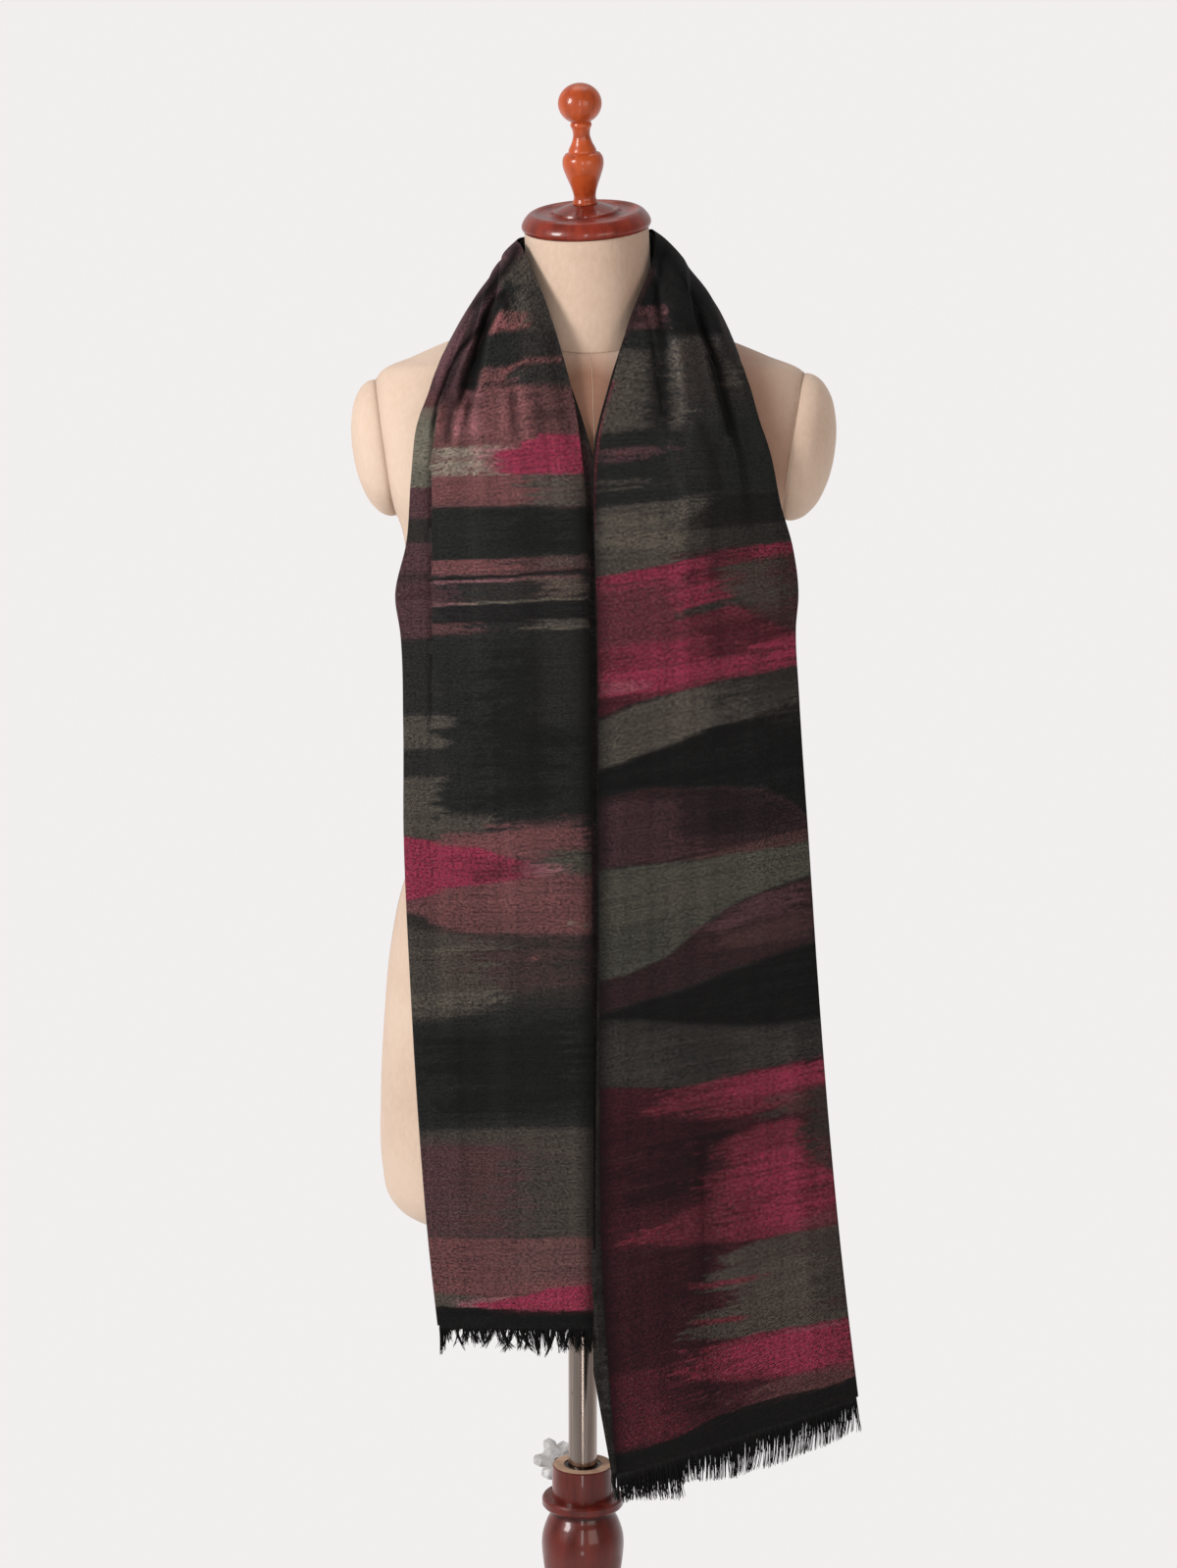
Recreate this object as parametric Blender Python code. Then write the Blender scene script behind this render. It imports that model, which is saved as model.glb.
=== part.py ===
"""A pashmina shawl hung round the neck of a dress form on a turned wooden stand.

The shawl is a long stole folded lengthwise: a front layer, one round fold along its
outer edge and a back layer behind. It goes round the back of the neck and both ends
hang in front. The form is a covered torso with shoulder caps and a neck, closed by a
turned cap and finial. It turns on a steel pole, which slides in the stand's column
and is held there by a clamp knob.

All tables are in millimetres. X is to the viewer's right, -Y is the front, Z is up,
and the origin is on the floor, on the pole's axis.
"""
import math
import random

import bmesh
import bpy
import numpy as np
from mathutils import Matrix, Vector

MM = 0.001
GAP = 0.3  # between neighbouring pieces
ROUND = 24  # sides of the round pieces on the pole's axis

# ---------------------------------------------------------------- driving sizes
POLE_RADIUS = 12.5
POLE_BOTTOM = 233.0
POLE_TOP = 700.0
BORE_RADIUS = POLE_RADIUS + GAP
BORE_BOTTOM = 75.0
COLUMN_TOP = 433.0
BUSH_RADIUS = 16.3
BUSH_DEPTH = 6.0
BASE_RADIUS = 200.0
BASE_TOP = 40.0

CLAMP_HEIGHT = 422.5  # of the clamp screw's axis
CLAMP_DIRECTION = Vector((-0.54, 0.8417, 0.0)).normalized()
SCREW_RADIUS = 3.0
COLLAR_RADIUS = 26.8
NUT_RADIUS = 5.4
NUT_THICKNESS = 3.4
KNOB_START = 43.0  # from the pole's axis
KNOB_THICKNESS = 11.0
KNOB_LOBES = 5
KNOB_ROOT_RADIUS = 10.5
KNOB_TIP_RADIUS = 18.4

CAP_CENTRE = Vector((3.4, 0.0, 1495.0))  # middle of the cap's underside
CAP_LEAN_FRONT = 0.249  # rise of the cap's plane for each mm towards the back
CAP_LEAN_SIDE = 0.055  # and for each mm towards the viewer's right
CAP_BOSS_HEIGHT = 20.2
BALL_RADIUS = 17.8
BALL_CENTRE = 81.3
BALL_FLATTENED = 0.92  # the ball's height for its width

CLOTH = 1.2  # thickness of the wall
LAYERS = 3.0  # between the middles of the front and back layers
HEM_STRIP = 2.4  # height of the strip that a fringe is knotted into

# ---------------------------------------------------------------- turned profiles
# radius, height: from the bottom of the outside to the top
COLUMN_PROFILE = (
    (0.0, BASE_TOP + GAP), (34.0, BASE_TOP + GAP), (36.0, 44.0), (34.5, 50.0), (26.0, 56.0),
    (21.5, 70.0), (21.0, 92.0), (24.5, 130.0), (27.5, 165.0), (26.0, 200.0), (20.5, 232.0),
    (20.0, 243.0), (26.5, 248.0), (28.5, 254.0), (26.5, 260.0), (20.5, 265.0), (21.0, 280.0),
    (26.5, 305.0), (33.0, 335.0), (35.8, 358.0), (35.2, 370.0), (31.5, 382.0), (27.5, 390.0),
    (26.6, 395.5), (34.2, 396.3), (35.5, 398.0), (35.5, 403.0), (34.2, 404.8), (26.6, 405.6),
    (COLLAR_RADIUS, 420.0), (26.4, COLUMN_TOP - 0.8), (25.6, COLUMN_TOP),
)
BASE_PROFILE = (
    (0.0, 0.0), (BASE_RADIUS - 3, 0.0), (BASE_RADIUS, 3.0), (BASE_RADIUS, 16.0),
    (BASE_RADIUS - 5, 22.0), (BASE_RADIUS - 13, 24.0), (BASE_RADIUS - 15, 27.0),
    (150.0, 31.0), (95.0, 35.5), (52.0, 38.5), (46.0, BASE_TOP), (0.0, BASE_TOP),
)
CAP_PROFILE = (
    (0.0, 0.0), (50.2, 0.0), (52.4, 0.9), (53.4, 3.2), (52.9, 6.0), (50.8, 9.6), (47.6, 13.0),
    (44.8, 14.5), (42.4, 14.2), (39.5, 12.6), (34.0, 11.5), (30.2, 11.8), (28.2, 13.2),
    (27.4, 15.2), (25.8, 16.0), (23.8, 15.6), (19.0, 17.8), (13.6, 19.8), (12.4, CAP_BOSS_HEIGHT),
    (0.0, CAP_BOSS_HEIGHT),
)
FINIAL_PROFILE = (
    (0.0, 0.0), (10.2, 0.0), (10.2, 1.6), (9.1, 4.5), (9.4, 8.5), (11.3, 15.0), (14.0, 22.0),
    (16.2, 28.5), (16.9, 33.0), (16.3, 37.6), (14.3, 40.8), (11.3, 42.0), (11.4, 43.6),
    (8.6, 49.5), (7.0, 54.5), (6.9, 57.5), (7.5, 60.8), (8.7, 63.4), (8.7, 64.7),
)

# ---------------------------------------------------------------- the torso
# height, rise to the back, half width, front depth, back depth, squareness, middle in X
TORSO_RINGS = (
    (658.0, 0.0, 140.0, 80.0, 88.0, 2.2, 2.0),
    (660.5, 0.0, 149.0, 87.0, 95.0, 2.2, 2.0),
    (668.0, 0.0, 161.0, 97.0, 104.0, 2.2, 2.0),
    (681.0, 0.0, 170.0, 104.0, 110.5, 2.2, 2.0),
    (703.0, 0.0, 175.0, 108.0, 114.0, 2.2, 3.0),
    (770.0, 0.0, 176.0, 107.0, 114.5, 2.2, 3.0),
    (830.0, 0.0, 172.8, 105.0, 110.0, 2.2, 3.0),
    (890.0, 0.0, 167.0, 100.0, 102.0, 2.2, 3.0),
    (948.0, 0.0, 155.0, 94.0, 92.0, 2.2, 3.0),
    (1000.0, 0.0, 134.0, 87.0, 82.0, 2.2, 4.0),
    (1045.0, 0.0, 121.0, 84.0, 77.0, 2.2, 4.0),
    (1090.0, 0.0, 122.0, 88.0, 78.0, 2.2, 5.0),
    (1140.0, 0.0, 132.0, 100.0, 82.0, 2.2, 5.0),
    (1180.0, 0.0, 142.0, 112.0, 87.0, 2.2, 6.0),
    (1212.0, 0.0, 150.0, 116.5, 89.5, 2.2, 6.0),
    (1236.0, 0.0, 154.0, 112.0, 91.5, 2.2, 6.0),
    (1252.0, 0.0, 158.5, 107.5, 92.5, 2.2, 7.0),
    (1264.0, 0.0, 165.5, 103.5, 92.5, 2.25, 8.0),
    (1280.0, 0.0, 175.5, 97.5, 92.0, 2.3, 9.0),
    (1305.0, 0.0, 183.5, 88.5, 91.0, 2.35, 9.5),
    (1333.0, 0.0, 187.5, 78.5, 88.0, 2.4, 9.5),
    (1350.0, 0.0, 187.0, 71.0, 83.0, 2.35, 9.0),
    (1365.0, 0.0, 183.0, 64.5, 77.0, 2.3, 8.5),
    (1377.0, 0.0, 176.0, 60.0, 71.0, 2.25, 8.0),
    (1390.0, 0.1, 148.0, 56.5, 64.0, 2.2, 7.0),
    (1401.0, 0.2, 118.0, 54.0, 60.0, 2.2, 6.0),
    (1408.0, 0.3, 90.0, 52.5, 57.5, 2.1, 5.5),
    (1412.5, 0.38, 68.0, 51.8, 55.8, 2.05, 5.0),
    (1414.0, 0.41, 58.0, 51.0, 55.0, 2.0, 5.0),
)
TORSO_POINTS = 32
# height, rise to the back, half width, front depth, back depth, squareness, middle in X
NECK_RINGS = (
    (1414.0 + GAP, 0.41, 57.6, 50.6, 54.6, 2.0, 5.0),
    (1424.0, 0.39, 55.0, 49.5, 52.5, 2.0, 4.9),
    (1440.0, 0.36, 52.8, 49.4, 51.2, 2.0, 4.7),
    (1465.0, 0.30, 51.8, 49.6, 50.6, 2.0, 4.5),
)
NECK_POINTS = 24
NECK_TOP = (51.2, 49.6, 50.4)  # half width, front and back depth under the cap
# name, the plane's X at its top, its height there, X at its foot, height there, toe-in,
# furthest X of the padded cap
ARMHOLES = (
    ("form_cap_left", -171.5, 1377.0, -154.5, 1260.0, 0.0, -190.5),
    ("form_cap_right", 179.0, 1377.0, 164.5, 1260.0, 0.12, 209.0),
)
# share of the cap's bulge, size of its outline there
CAP_SWELL = ((0.0, 1.0), (0.24, 0.985), (0.50, 0.90), (0.76, 0.70), (0.93, 0.41), (1.0, 0.14))
CAP_PEAK = 1.0  # the peak lies this far above the middle of the armhole

ARMPIT_BELOW = 1240.0  # a height just below both armholes

# ---------------------------------------------------------------- the shawl
# name, inner edge X Y Z, outer edge X Y Z, crown, reach of the back layer's inner edge
STATIONS = (
    ("left hem", 9.8, -127, 600.6, -120.1, -115, 596.7, 1.0, 0.0),
    ("left hip", 9.8, -127, 660.0, -126.2, -114, 656.0, 1.0, 1.5),
    ("left thigh", 9.8, -127, 767.4, -134.3, -112, 763.5, 1.5, 5.0),
    ("left belly", 9.0, -127, 889.8, -140.7, -110, 886.3, 2.0, 6.0),
    ("left waist", 8.2, -127, 1010.6, -145.0, -107, 1007.4, 3.0, 7.0),
    ("left rib", 7.4, -126, 1098.0, -144.9, -103, 1095.1, 4.0, 8.0),
    ("left underbust", 6.6, -125, 1168.7, -147.0, -97, 1170.1, 6.0, 8.5),
    ("left bust", 5.8, -123, 1201.4, -151.1, -90, 1198.8, 8.0, 9.0),
    ("left chest", 5.0, -116, 1246.2, -142.4, -84, 1240.4, 8.0, 9.5),
    ("left upper chest", 0.3, -95, 1308.5, -138.6, -77, 1291.2, 8.0, 10.0),
    ("left collarbone", -10.0, -70, 1371.4, -134.8, -71, 1330.4, 6.0, 0.0),
    ("left throat", -27.2, -55, 1427.9, -130.2, -69, 1346.1, 7.0, 0.0),
    ("left shoulder", -47.4, -26, 1475.7, -117.6, -60.5, 1377.3, 4.0, 0.0),
    ("left side", -52.4, 3, 1485.0, -103.2, -9, 1409.2, 2.0, 0.0),
    ("left nape", -34.2, 41.3, 1490.0, -80.0, 66, 1412.5, 3.0, 0.0),
    ("nape", 4.0, 55.0, 1494.0, 6.0, 92, 1397.0, 5.0, 0.0),
    ("right nape", 42.0, 42.0, 1492.5, 88.0, 66, 1408.5, 5.0, 0.0),
    ("right side", 58.3, 3, 1490.0, 119.0, -5, 1408.8, 6.5, 0.0),
    ("right shoulder", 54.2, -27, 1459.9, 129.2, -52, 1382.5, 8.0, 0.0),
    ("right throat", 37.6, -56, 1419.2, 136.4, -58.4, 1364.5, 8.0, 0.0),
    ("right collarbone", 25.6, -71, 1376.9, 142.8, -64, 1342.0, 7.0, 2.5),
    ("right upper chest", 12.1, -93, 1326.3, 152.5, -72, 1310.9, 8.0, 2.5),
    ("right breast", 8.5, -111, 1280.8, 160.1, -84, 1271.9, 8.0, 0.0),
    ("right chest", 9.4, -120, 1238.4, 169.4, -91, 1239.2, 8.0, 0.0),
    ("right bust", 10.6, -126, 1198.3, 174.1, -98, 1201.8, 8.0, 0.0),
    ("right underbust", 11.3, -128, 1168.7, 172.0, -103, 1174.5, 6.0, 0.0),
    ("right rib", 12.0, -129, 1113.7, 174.6, -107, 1123.3, 4.0, 0.0),
    ("right waist", 12.6, -130, 1010.6, 183.0, -111, 1007.8, 3.0, 0.0),
    ("right belly", 13.2, -130, 889.8, 192.1, -113, 886.7, 2.0, 1.5),
    ("right thigh", 13.8, -130, 767.4, 202.6, -115, 764.0, 1.5, 3.4),
    ("right hip", 15.5, -130, 651.6, 212.9, -116, 664.6, 1.0, 5.1),
    ("right knee", 21.2, -130, 559.5, 220.4, -117, 602.0, 1.0, 7.5),
    ("right hem", 27.8, -130, 473.2, 228.9, -118, 536.5, 1.0, 4.0),
)
# Each fold line runs the length of the cloth, from inner edge (0) to outer edge (1).
# station, place of each line across the cloth, height of each line above the cloth
FOLD_LINES = (
    ("left hem", (0, .25, .50, .62, .74, .85, .93, 1), (0, .6, 0, -.4, .3, 0, .4, 0)),
    ("left rib", (0, .27, .50, .63, .74, .844, .92, 1), (0, 0, .6, 0, 0, -1.2, -.6, 0)),
    ("left bust", (0, .27, .52, .64, .74, .808, .89, 1), (0, 0, .6, 0, 0, -2.0, -1.2, 0)),
    ("left upper chest", (0, .30, .58, .70, .79, .874, .93, 1), (0, 0, .8, -1.5, .5, -3, -1, 0)),
    ("left collarbone", (0, .29, .56, .65, .74, .835, .91, 1), (0, 1, 2, -4, 0, -4.5, -1.2, 0)),
    ("left throat", (0, .28, .53, .62, .71, .80, .90, 1), (0, 1.5, 2, -7, -1, -6, -1, 0)),
    ("left shoulder", (0, .12, .23, .32, .43, .54, .73, 1), (0, 1.5, 2, -7, -1, -6, -1, 0)),
    ("left side", (0, .08, .15, .21, .29, .40, .62, 1), (0, 1, 1.5, -.8, .6, -.4, .4, 0)),
    ("nape", (0, .10, .20, .31, .43, .55, .75, 1), (0, -1, -4, 2, 2, -4, 1, 0)),
    ("right side", (0, .06, .11, .19, .30, .40, .62, 1), (0, .9, 1.5, 1.2, .8, -.4, .4, 0)),
    ("right shoulder", (0, .06, .12, .22, .38, .47, .71, 1), (0, -2, -5, 2, 2, -5.5, 0, 0)),
    ("right throat", (0, .17, .27, .38, .645, .715, .86, 1), (0, -1.5, -4, 2, 2, -6, -1, 0)),
    ("right collarbone", (0, .22, .34, .46, .73, .79, .895, 1), (0, -.5, -1, 1.5, 1.5, -4.5, -1, 0)),
    ("right upper chest", (0, .20, .36, .50, .78, .835, .92, 1), (0, 0, 0, .5, .8, -2, -.5, 0)),
    ("right bust", (0, .20, .36, .50, .74, .81, .91, 1), (0, 0, 0, 0, .4, 0, 0, 0)),
    ("right waist", (0, .20, .36, .50, .74, .82, .91, 1), (0, 0, .6, 0, 0, .5, 0, 0)),
    ("right hem", (0, .20, .36, .50, .74, .82, .91, 1), (0, .5, 0, -.6, .6, 0, -.4, 0)),
)
# name, first station, last station, sections along it
STRETCHES = (
    ("shawl_left_tail", "left hem", "left side", 16),
    ("shawl_neck", "left side", "right side", 10),
    ("shawl_right_tail", "right side", "right hem", 18),
)
UNDER_LAYER = (20.0, 82.0, 665.0, 473.0)  # X from, X to, top and hem of the low inner corner
# name, number of locks, shortest, longest, lean to the right, width of a lock in its pitch
FRINGES = (
    ("fringe_left_front", 17, 14.0, 27.0, 0.05, 0.62),
    ("fringe_left_back", 9, 10.0, 23.0, -0.05, 0.50),
    ("fringe_right_front", 32, 22.0, 27.0, 0.22, 0.60),
    ("fringe_right_back", 15, 18.0, 25.0, 0.16, 0.50),
    ("fringe_right_under", 11, 20.0, 24.0, 0.10, 0.55),
)


# ---------------------------------------------------------------- helpers
def clear_scene():
    for obj in list(bpy.data.objects):
        bpy.data.objects.remove(obj, do_unlink=True)


def make_material(name, colour, roughness, metallic=0.0):
    material = bpy.data.materials.new(name)
    material.use_nodes = True
    shader = material.node_tree.nodes["Principled BSDF"]
    shader.inputs["Base Color"].default_value = (*colour, 1.0)
    shader.inputs["Roughness"].default_value = roughness
    shader.inputs["Metallic"].default_value = metallic
    return material


def link_mesh(name, bm, material, sharp_degrees=40.0):
    """Turn a bmesh into a smooth-shaded object whose faces point out."""
    bmesh.ops.recalc_face_normals(bm, faces=bm.faces)
    mesh = bpy.data.meshes.new(name)
    bm.to_mesh(mesh)
    bm.free()
    mesh.materials.append(material)
    mesh.shade_smooth()
    mesh.set_sharp_from_angle(angle=math.radians(sharp_degrees))
    obj = bpy.data.objects.new(name, mesh)
    bpy.context.scene.collection.objects.link(obj)
    return obj


def turned(name, profile, steps, material, closed=False, sharp_degrees=40.0):
    """Spin a profile of radius and height about Z; a closed profile gives a ring."""
    bm = bmesh.new()
    points = [bm.verts.new((radius * MM, 0.0, height * MM)) for radius, height in profile]
    edges = [bm.edges.new(pair) for pair in zip(points, points[1:])]
    if closed:
        edges.append(bm.edges.new((points[-1], points[0])))
    bmesh.ops.spin(
        bm, geom=points + edges, cent=(0, 0, 0), axis=(0, 0, 1), angle=math.tau,
        steps=steps, use_merge=True,
    )
    bmesh.ops.remove_doubles(bm, verts=bm.verts, dist=1e-6)
    return link_mesh(name, bm, material, sharp_degrees)


def loft(bm, rings):
    """Join closed rings of equal length by quads and close both ends."""
    rows = [[bm.verts.new(Vector(point) * MM) for point in ring] for ring in rings]
    for low, high in zip(rows, rows[1:]):
        for i in range(len(low)):
            k = (i + 1) % len(low)
            bm.faces.new((low[i], low[k], high[k], high[i]))
    bm.faces.new(rows[0][::-1])
    bm.faces.new(rows[-1])


def oval(ring, count):
    """A ring that is rounder or squarer than an ellipse, deeper at front or back."""
    height, rise, half_width, front, back, square, middle = ring
    points = []
    for i in range(count):
        angle = math.tau * i / count
        across = math.copysign(abs(math.cos(angle)) ** (2 / square), math.cos(angle))
        deep = math.copysign(abs(math.sin(angle)) ** (2 / square), math.sin(angle))
        y = deep * (back if deep > 0 else front)
        points.append((middle + half_width * across, y, height + rise * y))
    return points


def cut_by(obj, cutter):
    """Subtract a guide object, which is kept only as a wire."""
    cutter.display_type = "WIRE"
    cutter.hide_render = True
    modifier = obj.modifiers.new("hole", "BOOLEAN")
    modifier.operation = "DIFFERENCE"
    modifier.object = cutter


def cylinder(name, radius, bottom, top, steps, material):
    return turned(name, ((0, bottom), (radius, bottom), (radius, top), (0, top)), steps, material)


def aim(obj, origin, direction):
    """Stand an object's own Z on a point, along a direction."""
    turn = Vector((0, 0, 1)).rotation_difference(direction)
    obj.matrix_world = Matrix.Translation(origin * MM) @ turn.to_matrix().to_4x4()


# ---------------------------------------------------------------- the stand
def make_stand(wood, steel, dark_steel, clear_plastic):
    turned("stand_base", BASE_PROFILE, 44, wood, sharp_degrees=50)

    bore = (
        (BUSH_RADIUS, COLUMN_TOP), (BUSH_RADIUS, COLUMN_TOP - BUSH_DEPTH),
        (BORE_RADIUS, COLUMN_TOP - BUSH_DEPTH), (BORE_RADIUS, BORE_BOTTOM), (0.0, BORE_BOTTOM),
    )
    column = turned("stand_column", COLUMN_PROFILE + bore, ROUND, wood, sharp_degrees=50)
    turned(
        "pole_bush",
        (
            (BORE_RADIUS, COLUMN_TOP - BUSH_DEPTH + GAP), (BUSH_RADIUS - GAP, COLUMN_TOP - BUSH_DEPTH + GAP),
            (BUSH_RADIUS - GAP, COLUMN_TOP - 0.6), (BORE_RADIUS, COLUMN_TOP - 0.6),
        ),
        ROUND, dark_steel, closed=True,
    )
    cylinder("pole", POLE_RADIUS, POLE_BOTTOM, POLE_TOP, ROUND, steel)

    origin = Vector((0, 0, CLAMP_HEIGHT))
    drill = cylinder("guide_clamp_hole", SCREW_RADIUS + GAP, 4.0, COLLAR_RADIUS + 15, 16, wood)
    aim(drill, origin, CLAMP_DIRECTION)
    cut_by(column, drill)

    nut_from = COLLAR_RADIUS + GAP
    nut = turned(
        "clamp_nut",
        (
            (SCREW_RADIUS + GAP, nut_from), (NUT_RADIUS, nut_from),
            (NUT_RADIUS, nut_from + NUT_THICKNESS), (SCREW_RADIUS + GAP, nut_from + NUT_THICKNESS),
        ),
        12, dark_steel, closed=True, sharp_degrees=20,
    )
    aim(nut, origin, CLAMP_DIRECTION)
    screw = cylinder("clamp_screw", SCREW_RADIUS, POLE_RADIUS + GAP + 0.2, KNOB_START - GAP, 12, dark_steel)
    aim(screw, origin, CLAMP_DIRECTION)
    knob = make_knob(clear_plastic)
    aim(knob, origin, CLAMP_DIRECTION)


def make_knob(material):
    """A star knob: round lobes with rounded rims, one loop of points per level."""
    count = 8 * KNOB_LOBES
    levels = ((0.80, 0.0), (1.0, 1.8), (1.0, KNOB_THICKNESS - 1.8), (0.80, KNOB_THICKNESS))
    rings = []
    for scale, height in levels:
        ring = []
        for i in range(count):
            angle = math.tau * i / count
            lobe = 0.5 + 0.5 * math.tanh(2.2 * math.cos(KNOB_LOBES * angle)) / math.tanh(2.2)
            radius = KNOB_ROOT_RADIUS + (KNOB_TIP_RADIUS - KNOB_ROOT_RADIUS) * lobe
            radius -= (1 - scale) * 8.0
            ring.append((radius * math.cos(angle), radius * math.sin(angle), KNOB_START + height))
        rings.append(ring)
    bm = bmesh.new()
    loft(bm, rings)
    return link_mesh("clamp_knob", bm, material, 50)


# ---------------------------------------------------------------- the form
def cut_armhole(bm, point, normal):
    """Cut the shoulder's end off flat and give the outline of the cut."""
    faces = [face for face in bm.faces if face.calc_center_median().z > ARMPIT_BELOW * MM]
    geometry = list({item for face in faces for item in (*face.verts, *face.edges)}) + faces
    cut = bmesh.ops.bisect_plane(
        bm, geom=geometry, dist=1e-7, plane_co=point * MM, plane_no=normal, clear_outer=True
    )
    rim = [item for item in cut["geom_cut"] if isinstance(item, bmesh.types.BMEdge)]
    plate = bmesh.ops.edgeloop_fill(bm, edges=rim)["faces"][0]
    return [vertex.co / MM for vertex in plate.verts]


def armhole_plane(row):
    name, top_x, top_z, foot_x, foot_z, toe, far_x = row
    point = Vector((top_x, -35.0, top_z))
    down = Vector((foot_x - top_x, 0.0, foot_z - top_z))
    normal = down.cross(Vector((toe, 1.0, 0.0))).normalized()
    if normal.x * far_x < 0:
        normal.negate()
    return point, normal


def make_shoulder_cap(row, rim, normal, cover):
    """A padded cap on an armhole, its rings shrinking from the cut's own outline."""
    peak = sum(rim, Vector()) / len(rim) + Vector((0, 0, CAP_PEAK))
    bulge = (row[6] - peak.x) / normal.x
    rings = []
    for share, size in CAP_SWELL:
        middle = peak + normal * (GAP + (bulge - GAP) * share)
        rings.append([middle + (corner - peak) * size for corner in rim])
    bm = bmesh.new()
    loft(bm, rings)
    return link_mesh(row[0], bm, cover, 60)


def make_form(cover, wood):
    rings = [oval(ring, TORSO_POINTS) for ring in TORSO_RINGS]
    bm = bmesh.new()
    loft(bm, rings)
    for row in ARMHOLES:
        point, normal = armhole_plane(row)
        rim = cut_armhole(bm, point, normal)
        make_shoulder_cap(row, rim, normal, cover)
    torso = link_mesh("form_torso", bm, cover, 60)
    socket = cylinder("guide_socket", BORE_RADIUS, 600.0, POLE_TOP + GAP, ROUND, cover)
    cut_by(torso, socket)

    lean = Vector((-CAP_LEAN_SIDE, -CAP_LEAN_FRONT, 1.0)).normalized()
    neck_rings = [oval(ring, NECK_POINTS) for ring in NECK_RINGS]
    half_width, front, back = NECK_TOP
    top_ring = oval((0.0, 0.0, half_width, front, back, 2.0, CAP_CENTRE.x), NECK_POINTS)
    neck_rings.append([
        (x, y, CAP_CENTRE.z - GAP + CAP_LEAN_FRONT * y + CAP_LEAN_SIDE * (x - CAP_CENTRE.x))
        for x, y, _ in top_ring
    ])
    bm = bmesh.new()
    loft(bm, neck_rings)
    link_mesh("form_neck", bm, cover, 60)

    cap = turned("neck_cap", CAP_PROFILE, 32, wood, sharp_degrees=55)
    aim(cap, CAP_CENTRE, lean)
    ball_height = BALL_RADIUS * BALL_FLATTENED
    ball = [
        (BALL_RADIUS * math.cos(angle), BALL_CENTRE + ball_height * math.sin(angle))
        for angle in np.radians((-66, -48, -28, -8, 12, 32, 50, 67, 80))
    ]
    ball.append((0.0, BALL_CENTRE + ball_height))
    finial = turned("finial", FINIAL_PROFILE + tuple(ball), 18, wood, sharp_degrees=55)
    aim(finial, CAP_CENTRE + lean * (CAP_BOSS_HEIGHT + GAP), lean)


# ---------------------------------------------------------------- the shawl's surface
def smooth_curve(knots, values, at):
    """Values at a place between knots, on a smooth curve through all of them."""
    knots = np.asarray(knots, float)
    values = np.asarray(values, float)
    slopes = np.gradient(values, knots, axis=0)
    i = int(np.clip(np.searchsorted(knots, at) - 1, 0, len(knots) - 2))
    span = knots[i + 1] - knots[i]
    s = (at - knots[i]) / span
    return (
        (2 * s**3 - 3 * s**2 + 1) * values[i] + (s**3 - 2 * s**2 + s) * span * slopes[i]
        + (3 * s**2 - 2 * s**3) * values[i + 1] + (s**3 - s**2) * span * slopes[i + 1]
    )


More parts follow.
